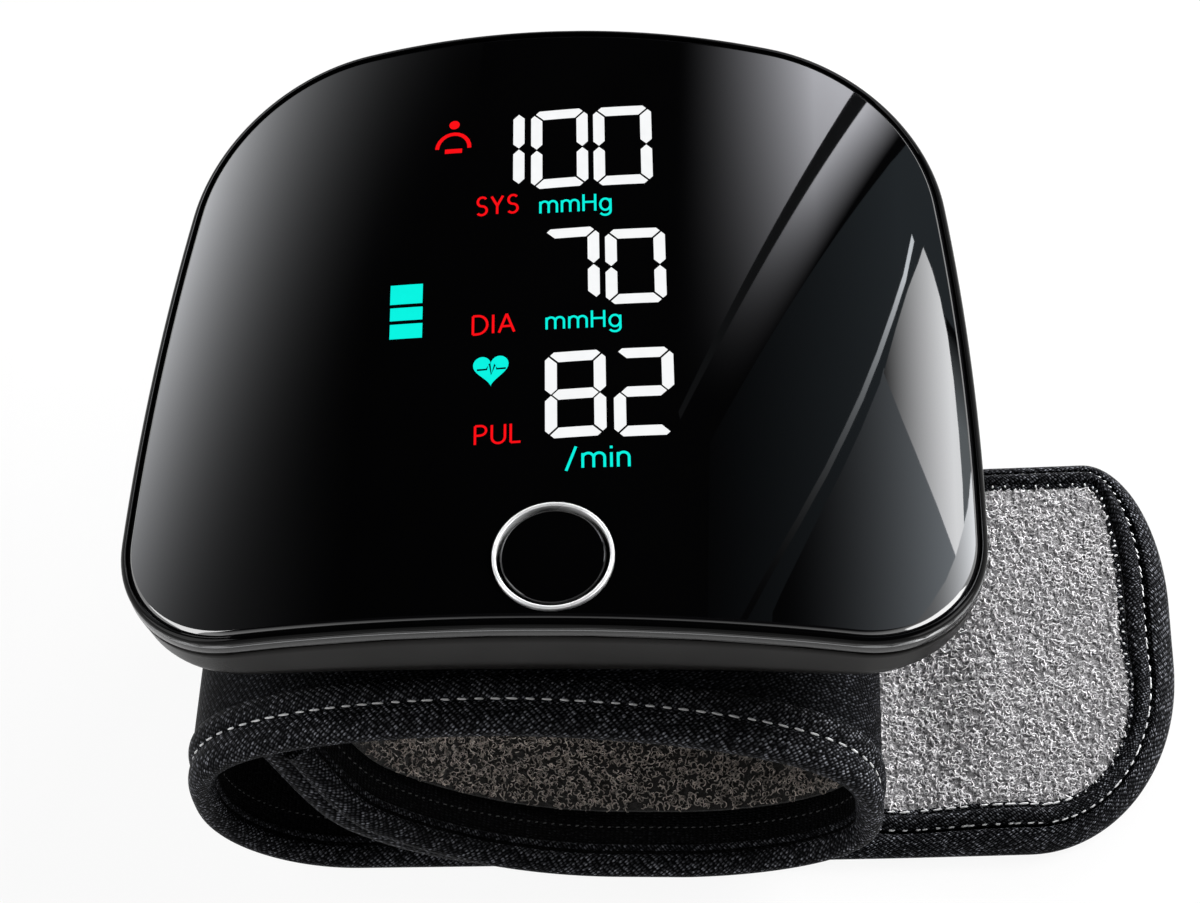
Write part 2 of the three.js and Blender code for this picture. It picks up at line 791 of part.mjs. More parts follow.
function strapRoute() {
  const half = strapThickness / 2;
  const loopZ = loopLowerRadius;
  const across = loopHalfWidth - half;
  const rise = loopTop - loopZ - half;
  const lowerLeft = loopLowerRadius - half;
  const innerZ = half + strapThickness + hookThickness + 2 * seatGap;
  const points = [];
  const arc = (name, x, z, a, b, from, to, steps, fullness = 1) => {
    for (let i = 0; i < steps; i += 1) {
      const angle = (from + (to - from) * i / steps) * degrees;
      const height = Math.sign(Math.sin(angle)) * Math.abs(Math.sin(angle)) ** fullness;
      points.push({ name, x: x + a * Math.cos(angle), z: z + b * height });
    }
  };
  const innerTurnZ = innerZ + innerTurnRadius;
  const room = (angle) => {
    const x = innerTurnX + innerTurnRadius * Math.cos(angle * degrees);
    const archZ = loopZ + rise * (1 - ((x - loopCentre) / across) ** 2) ** (loopFullness / 2);
    return archZ - innerTurnZ - innerTurnRadius * Math.sin(angle * degrees);
  };
  let innerEnd = 270;
  while (room(innerEnd - 1) > strapThickness + innerEndGap) {
    innerEnd -= 1;
  }
  arc('inner', innerTurnX, innerTurnZ, innerTurnRadius, innerTurnRadius, innerEnd, 270, 8);
  points.push({ name: 'inner', x: innerTurnX, z: innerZ });
  const bend = loopCentre + across - innerBendX;
  arc('right', innerBendX, loopZ, bend, loopZ - innerZ, 270, 360, 7);
  arc('top', loopCentre, loopZ, across, rise, 0, 180, 18, loopFullness);
  arc('left', loopCentre - across + lowerLeft, loopZ, lowerLeft, lowerLeft, 180, 270, 8);
  const bottomSteps = 4;
  const bottomX = loopCentre - across + lowerLeft;
  for (let i = 0; i <= bottomSteps; i += 1) {
    points.push({ name: 'bottom', x: bottomX + (tailStart - seam - bottomX) * i / bottomSteps, z: half });
  }
  let length = 0;
  points.forEach((p, i) => {
    const before = points[Math.max(i - 1, 0)];
    const after = points[Math.min(i + 1, points.length - 1)];
    const run = Math.hypot(after.x - before.x, after.z - before.z);
    length += Math.hypot(p.x - before.x, p.z - before.z);
    p.s = length;
    p.nx = (after.z - before.z) / run;
    p.nz = -(after.x - before.x) / run;
  });
  return points;
}

const route = strapRoute();
const crownS = route.filter((p) => p.name === 'top')[9].s;
const innerS = route.find((p) => p.name === 'right').s;
const endS = route.at(-1).s + tailLength;

// Stations of the route between two lengths along it
function stretch(from, to) {
  const at = (s) => {
    const i = route.findIndex((p) => p.s >= s);
    const [a, b] = [route[i - 1], route[i]];
    const share = (s - a.s) / (b.s - a.s);
    const mix = (key) => a[key] + (b[key] - a[key]) * share;
    return { s, x: mix('x'), z: mix('z'), nx: mix('nx'), nz: mix('nz') };
  };
  return [at(from), ...route.filter((p) => p.s > from && p.s < to), at(to)];
}

// The strap is wrapped a little askew, so its front edge drifts along Y
function frontAt(s) {
  if (s < crownS) {
    const share = Math.min(1, (crownS - s) / (crownS - innerS));
    return strapFront - skewInner * share;
  }
  return strapFront + skewTail * ((s - crownS) / (endS - crownS)) ** 2;
}

function strap(section, stations) {
  return loft(stations.map((p) => section.map(([n, y]) => new THREE.Vector3(
    p.x + p.nx * n,
    frontAt(p.s) + y,
    p.z + p.nz * n,
  ))));
}

function layer(outer, thickness, margin, stations) {
  const inner = outer - thickness;
  return strap([
    [outer, margin], [outer, strapWidth - margin], [inner, strapWidth - margin], [inner, margin],
  ], stations);
}

// Height of a layer's surface over the arch of the loop
function archHeight(x, offset) {
  const arch = route.filter((p) => p.name === 'top').map((p) => [p.x + p.nx * offset, p.z + p.nz * offset]);
  const i = arch.findIndex((p) => p[0] <= x);
  const [x1, z1] = arch[i];
  const [x0, z0] = arch[i - 1];
  return z0 + (z1 - z0) * (x - x0) / (x1 - x0);
}

const outerFace = strapThickness / 2;
const stiffenerTop = outerFace - coverThickness - layerGap;
const bladderTop = stiffenerTop - stiffenerThickness - layerGap;
const liningTop = -outerFace + liningThickness;
const bladderThickness = bladderTop - layerGap - liningTop;
const edgeMargin = bindingWidth + seatGap;
const wrapped = route.filter((p) => ['right', 'top', 'left'].includes(p.name));
const hookSpan = stretch(innerS - hookLength / 2, innerS + hookLength / 2);
const nozzleHole = nozzleRadius + nozzleClearance;
const nozzlePath = () => rodZ(nozzleHole, airX, manifoldY, archHeight(airX, -outerFace), baseZ + weld);

function cuffBinding(back) {
  const thick = outerFace - bindingRelief;
  const roll = thick - bindingRound * 0.6;
  const edge = seam + bindingRound;
  const section = [
    [thick, bindingWidth], [thick, edge], [roll, seam], [-roll, seam], [-thick, edge], [-thick, bindingWidth],
  ];
  const placed = back ? section.map(([n, y]) => [n, strapWidth - y]) : section;
  return strap(placed, route);
}

function cuffSaddle() {
  const shape = new THREE.Shape();
  const top = baseZ - seatGap;
  const under = outerFace + seatGap;
  const arch = route.filter((p) => p.name === 'top').map((p) => [p.x + p.nx * under, p.z + p.nz * under])
    .filter(([x]) => x > saddleLeft + weld && x < saddleRight - weld);
  shape.moveTo(saddleRight, top);
  shape.lineTo(saddleLeft, top);
  shape.lineTo(saddleLeft, archHeight(saddleLeft, under));
  arch.reverse().forEach(([x, z]) => shape.lineTo(x, z));
  shape.lineTo(saddleRight, archHeight(saddleRight, under));
  const geometry = new THREE.ExtrudeGeometry(shape, { depth: saddleLength, bevelEnabled: false });
  geometry.rotateX(Math.PI / 2);
  geometry.translate(0, saddleBack, 0);
  let body = solid(geometry);
  const x2 = clipWidth / 2;
  const y2 = clipThickness / 2;
  for (const [x, y] of clipSpots) {
    const away = y < (saddleFront + saddleBack) / 2 ? -1 : 1;
    const barb = [y + away * (y2 - clipBarb / 2), y + away * (y2 + clipBarb)].sort((a, b) => a - b);
    body = join(
      body,
      box(x - x2, x + x2, y - y2, y + y2, top - saddleCrown / 2, top + clipRise + caseWall - seatGap),
      box(x - x2, x + x2, barb[0], barb[1], floorZ + seam, top + clipRise + caseWall - seatGap),
    );
  }
  return cut(body, nozzlePath());
}

// Free end: cover below, pile above, bound and piped round three sides

const tailEnd = tailStart + tailLength;
const tailFront = frontAt(route.at(-1).s + tailLength / 2);

function tailOutline(inset, left) {
  const front = tailFront + inset;
  const back = tailFront + strapWidth - inset;
  const right = tailEnd - inset;
  const nearX = tailFrontCornerWidth - inset;
  const nearY = tailFrontCornerLength - inset;
  const farX = tailBackCornerWidth - inset;
  const farY = tailBackCornerLength - inset;
  const shape = new THREE.Shape();
  shape.moveTo(left, front);
  shape.lineTo(right - nearX, front);
  shape.absellipse(right - nearX, front + nearY, nearX, nearY, -Math.PI / 2, 0, false);
  shape.lineTo(right, back - farY);
  shape.absellipse(right - farX, back - farY, farX, farY, 0, Math.PI / 2, false);
  shape.lineTo(left, back);
  return shape;
}

function tailBand(outer, inner, z0, z1) {
  const left = tailStart + seam;
  const middle = plan(tailOutline(inner, left - overshoot), z0 - weld, z1 + weld);
  return cut(plan(tailOutline(outer, left), z0, z1), middle);
}

const pipingInset = bindingWidth + seatGap;
const pileInset = pipingInset + pipingWidth + seatGap;
const tailCoverTop = strapThickness - liningThickness - layerGap;

// Materials

function material(color, roughness, metalness = 0) {
  return new THREE.MeshStandardMaterial({ color, roughness, metalness });
}

const glossBlack = material(0x08090a, 0.08);
const bandGrey = material(0x3a3a3c, 0.35);
const caseGrey = material(0x262526, 0.4);
const chrome = material(0xd8dadc, 0.12, 1);
const cloth = material(0x1b1c20, 0.95);
const bindingCloth = material(0x141518, 0.9);
const pile = material(0x8f8d8c, 1);
const whitePlastic = material(0xe6e6e2, 0.5);
const boardGreen = material(0x1f5a34, 0.6);
const steel = material(0xa9abad, 0.3, 1);
const foil = material(0xb4b6ba, 0.45, 0.6);
const blackPlastic = material(0x202022, 0.6);
const softGrey = material(0x6d6e70, 0.85);
const clearGrey = material(0xb9bcbe, 0.6);

const monitor = new THREE.Group();

function add(name, body, look) {
  const mesh = new THREE.Mesh(geometryOf(body), look);
  mesh.name = name;
  monitor.add(mesh);
}

add('front_lens', frontLens(), glossBlack);
add('bezel_ring', bezelRing(), glossBlack);
add('upper_case', upperCase(), bandGrey);
add('lower_case', lowerCase(), caseGrey);
add('lens_gasket', lensGasket(), softGrey);
add('button_ring', buttonRing(), chrome);
add('start_button', startButton(), glossBlack);
add('switch_body', switchBody(), blackPlastic);
add('switch_plunger', switchPlunger(), blackPlastic);
add('main_board', mainBoard(), boardGreen);
add('display_light_box', displayLightBox(), whitePlastic);
add('battery_cell', batteryCell(), foil);
add('usb_socket', usbSocket(), steel);
add('buzzer', buzzer(), blackPlastic);
add('pump_motor', pumpMotor(), steel);
add('pump_rotor', pumpRotor(), steel);
add('pump_chamber', pumpChamber(), whitePlastic);
add('pump_diaphragm', pumpDiaphragm(), softGrey);
add('pump_cap', pumpCap(), whitePlastic);
add('air_manifold', airManifold(), whitePlastic);
add('pump_tube', pumpTube(), clearGrey);
add('sensor_tube', sensorTube(), clearGrey);
add('pressure_sensor', pressureSensor(), blackPlastic);
add('valve_body', valveBody(), steel);
add('valve_plunger', valvePlunger(), softGrey);
screwSpots.forEach((spot, i) => add(`case_screw_${i + 1}`, caseScrew(spot), steel));
add('cuff_saddle', cuffSaddle(), blackPlastic);
const cuffCover = layer(outerFace, coverThickness, edgeMargin, route);
const cuffStiffener = layer(stiffenerTop, stiffenerThickness, edgeMargin, wrapped);
add('cuff_cover', cut(cuffCover, nozzlePath()), cloth);
add('cuff_stiffener', cut(cuffStiffener, nozzlePath()), clearGrey);
add('cuff_bladder', layer(bladderTop, bladderThickness, edgeMargin + bladderMargin, wrapped), softGrey);
add('cuff_lining', layer(liningTop, liningThickness, edgeMargin, route), pile);
add('cuff_binding_front', cuffBinding(false), bindingCloth);
add('cuff_binding_back', cuffBinding(true), bindingCloth);
const hookTop = outerFace + seatGap + hookThickness;
add('hook_patch', layer(hookTop, hookThickness, edgeMargin, hookSpan), bindingCloth);
add('tail_cover', plan(tailOutline(pipingInset, tailStart + seam), 0, tailCoverTop), cloth);
add('tail_pile', plan(
  tailOutline(pileInset, tailStart + seam), tailCoverTop + layerGap, tailCoverTop + layerGap + pileHeight,
), pile);
add('tail_binding', tailBand(0, bindingWidth, bindingRelief, strapThickness), bindingCloth);
add('tail_piping', tailBand(
  pipingInset, pipingInset + pipingWidth, tailCoverTop + layerGap, tailCoverTop + layerGap + pipingHeight,
), bindingCloth);

export default monitor;
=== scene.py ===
# Looks of the wrist blood pressure monitor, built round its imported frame.
# Sizes are in millimetres until a mesh is made.
import bisect
import json
import math
import random

import bpy
import bmesh
from mathutils import Matrix, Vector
from mathutils.geometry import delaunay_2d_cdt
from mathutils.kdtree import KDTree


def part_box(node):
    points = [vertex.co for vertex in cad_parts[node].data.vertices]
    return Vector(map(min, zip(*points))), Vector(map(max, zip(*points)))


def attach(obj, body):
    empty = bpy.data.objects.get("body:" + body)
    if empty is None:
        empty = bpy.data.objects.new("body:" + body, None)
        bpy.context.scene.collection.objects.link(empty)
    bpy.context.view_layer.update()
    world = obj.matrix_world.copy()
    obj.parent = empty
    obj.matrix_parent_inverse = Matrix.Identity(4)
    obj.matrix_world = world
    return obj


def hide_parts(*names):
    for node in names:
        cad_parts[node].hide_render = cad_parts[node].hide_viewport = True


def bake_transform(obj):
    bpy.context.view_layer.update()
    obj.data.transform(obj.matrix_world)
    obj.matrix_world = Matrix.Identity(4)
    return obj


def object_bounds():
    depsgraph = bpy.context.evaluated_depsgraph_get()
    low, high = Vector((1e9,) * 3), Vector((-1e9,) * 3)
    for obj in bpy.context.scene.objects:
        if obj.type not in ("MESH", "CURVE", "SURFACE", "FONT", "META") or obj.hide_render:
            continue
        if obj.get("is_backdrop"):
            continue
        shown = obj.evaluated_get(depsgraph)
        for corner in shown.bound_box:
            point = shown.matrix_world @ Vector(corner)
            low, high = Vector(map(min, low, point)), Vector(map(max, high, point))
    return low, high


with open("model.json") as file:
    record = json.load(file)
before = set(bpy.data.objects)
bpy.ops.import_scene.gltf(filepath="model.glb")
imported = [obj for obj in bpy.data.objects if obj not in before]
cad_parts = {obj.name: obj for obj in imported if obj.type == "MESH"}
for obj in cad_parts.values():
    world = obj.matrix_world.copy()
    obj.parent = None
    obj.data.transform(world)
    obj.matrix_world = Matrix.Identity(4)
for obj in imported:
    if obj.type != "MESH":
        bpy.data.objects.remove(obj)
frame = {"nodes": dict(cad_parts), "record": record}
cad_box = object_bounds()

MM = 0.001
draws = random.Random(7)


def node_box(name):
    low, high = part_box(name)
    return [v / MM for v in low], [v / MM for v in high]


# Case sizes, read from the frame where a node gives them
RIM_LOW, RIM_HIGH = node_box("bezel_ring")
LENS_HIGH = node_box("front_lens")[1]
LOWER_LOW = node_box("lower_case")[0]
RING_LOW, RING_HIGH = node_box("button_ring")
CAP_LOW, CAP_HIGH = node_box("start_button")
USB_LOW, USB_HIGH = node_box("usb_socket")
TAIL_LOW, TAIL_HIGH = node_box("tail_binding")
HALF_WIDTH = (RIM_HIGH[0] - RIM_LOW[0]) / 2
CASE_FRONT = RIM_LOW[1]
CASE_LENGTH = RIM_HIGH[1] - RIM_LOW[1]
FACE_TOP = LENS_HIGH[2]
BASE_Z = LOWER_LOW[2]
FRONT_CORNER = 12.8
SHOULDER_RADIUS = 21.1
SIDE_LEAN = math.radians(7.85)
SHOULDER_END = math.radians(82)
FACE_RADIUS = 131.7
BASE_FILLET = 7
BASE_CORNER_GROWTH = 0.5
WALL_DRAFT = 0.25
WALL_SHARE = 0.42
SEAM = 0.15
LENS_THICKNESS = 1.2
LENS_INSET = 0.82
LENS_EDGE_WIDTH = 0.42
LENS_EDGE_DEPTH = 0.34
LENS_EDGE_CURVE = 1.25
LENS_TRIM_PROUD = 0.012
LENS_TRIM_SUNK = 0.1
LENS_SPACING = 2.2
LENS_BACK_SPACING = 6.0
RIM_WIDTH = 0.62
RIM_TOP = 0.03
RIM_DROP = 0.5
RIM_BEVEL = 0.07
RIM_FLAT = 0.04
BAND_TOP = 0.65
BAND_BOTTOM = 2.15
BAND_INSIDE = 0.7
BAND_BEVEL = 0.4
BAND_BEVEL_SLOPE = 1.3
BAND_ROUNDING = 0.12
LOWER_TOP = 2.65
LOWER_WALL = 0.5
LOWER_LIP = 0.14
SKIN = 0.03

# Button
BUTTON_X = (RING_LOW[0] + RING_HIGH[0]) / 2
BUTTON_Y = (RING_LOW[1] + RING_HIGH[1]) / 2
RING_RADIUS = (RING_HIGH[0] - RING_LOW[0]) / 2
RING_WIDTH = 0.42
RING_PROUD = 0.12
CAP_RADIUS = 5.0
CAP_EDGE = 0.3
TAB_THICKNESS = 0.8
TAB_WIDTH = 5

# Opening for the socket
USB_CLEAR = 0.3
USB_CORNER = 1.2
USB_CUT = (3, 5)

# Cuff
STRAP_HALF = 1.4
STRAP_WIDTH = 47
STRAP_FRONT = -36.6
LOOP_CENTRE = -3.3
LOOP_ACROSS = 34.5
LOOP_RISE = 20.0
RIGHT_FULLNESS = 0.64
LEFT_FULLNESS = 0.68
LOOP_Z = 15.6
LOWER_LEFT = 14.2
INNER_RADIUS = 33
INNER_X = 5
INNER_Z = 5.5
INNER_END = 197
INNER_SETBACK = 2.5
SETBACK_RUN = 14
INNER_BEND = 12
SKEW_INNER = 2
SKEW_TAIL = 3.2
TAIL_START = 33
TAIL_END = TAIL_HIGH[0]
TAIL_FRONT = TAIL_LOW[1]
TAIL_FRONT_CORNER = (17, 22)
TAIL_BACK_CORNER = (9, 18)
SPLIT_X = 22
BINDING = 3.4
RIDGE = (3.38, 5.7)
OUTER_RIDGE = (3.3, 6.1)
FLANGE = 0.7
PILE_FROM = 6.5
INNER_BINDING = 2.2
INNER_RIDGE = (2.35, 3.2)
INNER_PILE_FROM = 6.9


# Meshes

MERGE_REACH = 0.002


def mark_creases(work, crease):
    bmesh.ops.recalc_face_normals(work, faces=work.faces)
    limit = math.radians(crease)
    for edge in work.edges:
        edge.smooth = len(edge.link_faces) != 2 or edge.calc_face_angle(0) <= limit


def merge_points(piece, crease):
    work = bmesh.new()
    work.from_mesh(piece.data)
    bmesh.ops.remove_doubles(work, verts=work.verts, dist=MERGE_REACH * MM)
    mark_creases(work, crease)
    work.to_mesh(piece.data)
    work.free()


def put(name, points, faces, material, body, corners=None, crease=38):
    mesh = bpy.data.meshes.new(name)
    mesh.from_pydata([[c * MM for c in p] for p in points], [], faces)
    if corners is not None:
        layer = mesh.uv_layers.new(name="weave")
        flat = [uv for face in corners for uv in face]
        layer.data.foreach_set("uv", [c for uv in flat for c in uv])
    work = bmesh.new()
    work.from_mesh(mesh)
    for face in work.faces:
        face.smooth = True
    mark_creases(work, crease)
    work.to_mesh(mesh)
    work.free()
    piece = bpy.data.objects.new(name, mesh)
    bpy.context.scene.collection.objects.link(piece)
    mesh.materials.append(material)
    if body:
        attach(piece, body)
    return piece


# The node that a piece stands for, whose own mesh is hidden
def dress(piece, node=None):
    if node:
        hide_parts(node)
    return piece


def gather(*parts):
    points = []
    faces = []
    for part_points, part_faces in parts:
        start = len(points)
        points.extend(part_points)
        faces.extend([[i + start for i in face] for face in part_faces])
    return points, faces


# A tube of rings; loop joins the last ring to the first, and capped closes the two ends
def rings_mesh(rings, loop=False, capped=False):
    count = len(rings[0])
    spans = len(rings) if loop else len(rings) - 1
    points = [p for ring in rings for p in ring]
    faces = []
    for k in range(spans):
        after = (k + 1) % len(rings)
        for i in range(count):
            j = (i + 1) % count
            faces.append([k * count + i, k * count + j, after * count + j, after * count + i])
    if capped:
        faces.append(list(range(count)))
        faces.append([(len(rings) - 1) * count + i for i in range(count)])
    return points, faces


# Lengths along and across a capped tube of rings, for the weave of its cloth
def weave_corners(rings, along):
    count = len(rings[0])
    middle = rings[len(rings) // 2]
    across = [0]
    for i in range(count):
        across.append(across[-1] + math.dist(middle[i], middle[(i + 1) % count]))
    corners = []
    for k in range(len(rings) - 1):
        for i in range(count):
            u0, u1 = along[k], along[k + 1]
            v0, v1 = across[i], across[i + 1]
            corners.append([(u0, v0), (u0, v1), (u1, v1), (u1, v0)])
    for ring in (rings[0], rings[-1]):
        corners.append([(p[0], p[1] + p[2]) for p in ring])
    return corners


def cloth_tube(name, rings, along, material, body):
    points, faces = rings_mesh(rings, capped=True)
    return put(name, points, faces, material, body, weave_corners(rings, along))


def shares(steps):
    return [i / steps for i in range(steps + 1)]


def circle(x, y, radius, count):
    turns = [2 * math.pi * i / count for i in range(count)]
    return [(x + radius * math.cos(a), y + radius * math.sin(a)) for a in turns]


# A profile turned round an upright axis, as a solid or, with loop, as a ring
def lathe(profile, x, y, steps=96, loop=False):
    rings = [[(u, v, z) for u, v in circle(x, y, radius, steps)] for radius, z in profile]
    return rings_mesh(rings, loop=loop, capped=not loop)


def block_mesh(low, high):
    corners = [(x, y, z) for x in (low[0], high[0]) for y in (low[1], high[1]) for z in (low[2], high[2])]
    faces = [[0, 1, 3, 2], [4, 6, 7, 5], [0, 4, 5, 1], [2, 3, 7, 6], [0, 2, 6, 4], [1, 5, 7, 3]]
    return corners, faces


# Triangles over a flat outline with holes, with points set inside it
def filled(loops, spacing):
    points = []
    edges = []
    for loop in loops:
        start = len(points)
        points.extend(Vector(p) for p in loop)
        edges.extend((start + i, start + (i + 1) % len(loop)) for i in range(len(loop)))
    xs = [p[0] for p in loops[0]]
    ys = [p[1] for p in loops[0]]
    y = min(ys) + spacing / 2
    while y < max(ys):
        x = min(xs) + spacing / 2
        while x < max(xs):
            spot = Vector((x, y))
            if inside(spot, loops) and clear_of(spot, loops, spacing * 0.4):
                points.append(spot)
            x += spacing
        y += spacing
    out = delaunay_2d_cdt(points, edges, [], 0, 1e-6)
    kept = []
    for face in out[2]:
        middle = sum((out[0][i] for i in face), Vector((0, 0))) / len(face)
        if inside(middle, loops):
            kept.append(list(face))
    return [tuple(p) for p in out[0]], kept


def inside(spot, loops):
    odd = False
    for loop in loops:
        for i, a in enumerate(loop):
            b = loop[(i + 1) % len(loop)]
            if (a[1] > spot[1]) != (b[1] > spot[1]):
                if spot[0] < (b[0] - a[0]) * (spot[1] - a[1]) / (b[1] - a[1]) + a[0]:
                    odd = not odd
    return odd


def clear_of(spot, loops, reach):
    return all(abs(p[0] - spot[0]) > reach or abs(p[1] - spot[1]) > reach for loop in loops for p in loop)


# A closed plate over an outline, between two heights that may change from place to place
def plate(loop, top, bottom, spacing):
    flat, triangles = filled([loop], spacing)
    count = len(flat)
    points = [(x, y, top(x, y)) for x, y in flat] + [(x, y, bottom(x, y)) for x, y in flat]
    faces = [list(t) for t in triangles] + [[i + count for i in reversed(t)] for t in triangles]
    sides = {}
    for t in triangles:
        for i in range(len(t)):
            a, b = t[i], t[(i + 1) % len(t)]
            if (b, a) in sides:
                del sides[(b, a)]
            else:
                sides[(a, b)] = True
    for a, b in sides:
        faces.append([b, a, a + count, b + count])
    return points, faces


# Case outline: straight front, round front corners, leaning sides, wide shoulders, bowed back

def outline(inset, growth=0.0):
    corner = FRONT_CORNER + growth
    shoulder_run = SHOULDER_RADIUS * (math.cos(SIDE_LEAN) - math.cos(SHOULDER_END))
    shoulder_rise = SHOULDER_RADIUS * (math.sin(SHOULDER_END) - math.sin(SIDE_LEAN))
    bow = (1 - math.sin(SHOULDER_END)) / math.cos(SHOULDER_END)
    lean_in = (1 - math.cos(SIDE_LEAN)) / math.sin(SIDE_LEAN)
    side = CASE_LENGTH - corner - shoulder_rise - (HALF_WIDTH - shoulder_run) * bow
    side_radius = side / (1 - lean_in * bow) / math.sin(SIDE_LEAN)
    side_x = HALF_WIDTH - side_radius
    side_y = CASE_FRONT + corner
    shoulder_x = side_x + (side_radius - SHOULDER_RADIUS) * math.cos(SIDE_LEAN)
    shoulder_y = side_y + (side_radius - SHOULDER_RADIUS) * math.sin(SIDE_LEAN)
    back_radius = SHOULDER_RADIUS + shoulder_x / math.cos(SHOULDER_END)
    back_y = shoulder_y + (SHOULDER_RADIUS - back_radius) * math.sin(SHOULDER_END)
    front_run = HALF_WIDTH - corner
    front_steps = 16
    right = [(front_run * (i + 0.5) / front_steps, CASE_FRONT + inset) for i in range(front_steps)]
    arcs = [
        (front_run, side_y, corner, -math.pi / 2, 0, 24),
        (side_x, side_y, side_radius, 0, SIDE_LEAN, 16),
        (shoulder_x, shoulder_y, SHOULDER_RADIUS, SIDE_LEAN, SHOULDER_END, 30),
        (0, back_y, back_radius, SHOULDER_END, math.pi / 2, 16),
    ]
    for x, y, radius, start, end, steps in arcs:
        for i in range(steps):
            angle = start + (end - start) * i / steps
            right.append((x + (radius - inset) * math.cos(angle), y + (radius - inset) * math.sin(angle)))
    left = [(-x, y) for x, y in reversed(right)]
    return right + left


def face_z(x, depth=0.0):
    return FACE_TOP - FACE_RADIUS + math.sqrt((FACE_RADIUS - depth) ** 2 - x * x)


def face_ring(inset, depth):
    return [(x, y, face_z(x, depth)) for x, y in outline(inset)]


# Node materials

def wire(material, socket, value):
    if isinstance(value, bpy.types.NodeSocket):
        material.node_tree.links.new(value, socket)
    else:
        socket.default_value = value


def add_node(material, kind, values=None, **settings):
    made = material.node_tree.nodes.new(kind)
    for key, value in settings.items():
        setattr(made, key, value)
    for socket, value in (values or {}).items():
        wire(material, made.inputs[socket], value)
    return made


def maths(material, operation, *operands):
    made = material.node_tree.nodes.new("ShaderNodeMath")
    made.operation = operation
    for socket, value in zip(made.inputs, operands):
        wire(material, socket, value)
    return made.outputs[0]


def blended(material, share, first, second):
    made = add_node(material, "ShaderNodeMix", data_type="RGBA")
    wire(material, made.inputs[0], share)
    made.inputs[6].default_value = (*first, 1)
    made.inputs[7].default_value = (*second, 1)
    return made.outputs[2]


def between(material, value, low, high, to_low, to_high):
    made = add_node(material, "ShaderNodeMapRange", {
        "Value": value, "From Min": low, "From Max": high, "To Min": to_low, "To Max": to_high,
    })
    return made.outputs["Result"]


def new_look(name, colour, roughness, **sockets):
    material = bpy.data.materials.new(name)
    material.use_nodes = True
    shader = material.node_tree.nodes["Principled BSDF"]
    shader.inputs["Base Color"].default_value = (*colour, 1)
    shader.inputs["Roughness"].default_value = roughness
    for socket, value in sockets.items():
        shader.inputs[socket.replace("_", " ")].default_value = value
    return material, shader


def object_mm(material):
    place = add_node(material, "ShaderNodeTexCoord").outputs["Object"]
    made = add_node(material, "ShaderNodeMapping", {"Vector": place, "Scale": (1 / MM, 1 / MM, 1 / MM)})
    return made.outputs["Vector"]


def weave_mm(material, turn):
    place = add_node(material, "ShaderNodeUVMap", uv_map="weave").outputs["UV"]
    made = add_node(material, "ShaderNodeMapping", {"Vector": place, "Rotation": (0, 0, turn)})
    return made.outputs["Vector"]


def noise(material, place, size, detail=2.0, roughness=0.5):
    made = add_node(material, "ShaderNodeTexNoise", {
        "Vector": place, "Scale": 1 / size, "Detail": detail, "Roughness": roughness,
    })
    return made.outputs["Fac"]


def bump(material, shader, height, depth):
    made = add_node(material, "ShaderNodeBump", {
        "Height": height, "Distance": depth * MM, "Strength": 1.0,
    })
    wire(material, shader.inputs["Normal"], made.outputs["Normal"])


DRIFT_SIZE = 9.0
GLOSS_DRIFT = 0.12


# Moulded plastic, plated metal and rubber: grain in the bump, drift in the gloss and colour
def moulded(name, colour, roughness, grain=0.35, depth=0.02, drift=0.25, **sockets):
    material, shader = new_look(name, colour, roughness, **sockets)
    place = object_mm(material)
    broad = noise(material, place, DRIFT_SIZE)
    darker = tuple(c * (1 - drift) for c in colour)
    lighter = tuple(c * (1 + drift) for c in colour)
    wire(material, shader.inputs["Base Color"], blended(material, broad, darker, lighter))
    smooth, rough = roughness * (1 - GLOSS_DRIFT), roughness * (1 + GLOSS_DRIFT)
    wire(material, shader.inputs["Roughness"], between(material, broad, 0.3, 0.7, smooth, rough))
    if depth:
        bump(material, shader, noise(material, place, grain, 3.0), depth)
    return material


gloss_black = moulded("gloss black lens", (0.0008, 0.0008, 0.0009), 0.012, 6.0, 0.0, 0.2)
rim_black = moulded("gloss black rim", (0.001, 0.001, 0.0011), 0.05, 5.0, 0.0, 0.2, Specular_IOR_Level=0.1)
button_black = moulded("gloss black button", (0.0008, 0.0008, 0.0009), 0.03, 5.0, 0.0, 0.2)
band_grey = moulded("grey band", (0.013, 0.013, 0.0135), 0.15, 0.3, 0.002, 0.12, Specular_IOR_Level=0.16)
case_grey = moulded("dark case", (0.0072, 0.0065, 0.006), 0.3, 0.25, 0.005, 0.15, Specular_IOR_Level=0.05)
# The plated ring's near-white colour, only partly metal, is partly painted reflection, so that it reads
# bright from every side
bright_ring = moulded("plated ring", (0.88, 0.885, 0.89), 0.28, 0.5, 0.002, 0.03, Metallic=0.35)
edge_gloss = moulded("polished lens edge", (0.004, 0.004, 0.0045), 0.06, 5.0, 0.0, 0.2,
                     Specular_IOR_Level=1.0, Coat_Weight=1.0, Coat_IOR=1.9)
edge_grey = moulded("polished edge", (0.22, 0.222, 0.225), 0.2, 0.5, 0.0, 0.05, Metallic=0.8)
black_plastic = moulded("black plastic", (0.03, 0.03, 0.032), 0.5, 0.3, 0.01)
white_plastic = moulded("white plastic", (0.8, 0.8, 0.78), 0.45, 0.4, 0.008, 0.04)
board_green = moulded("board lacquer", (0.04, 0.2, 0.09), 0.35, 0.8, 0.01, 0.2)
cell_foil = moulded("pouch foil", (0.6, 0.61, 0.63), 0.38, 0.8, 0.03, 0.08, Metallic=0.8)
plain_steel = moulded("plain steel", (0.55, 0.55, 0.56), 0.3, 0.4, 0.006, 0.08, Metallic=1.0)
soft_rubber = moulded("soft rubber", (0.12, 0.12, 0.13), 0.75, 0.3, 0.015)
clear_tube = moulded("silicone tube", (0.6, 0.62, 0.63), 0.45, 0.6, 0.01, 0.06)
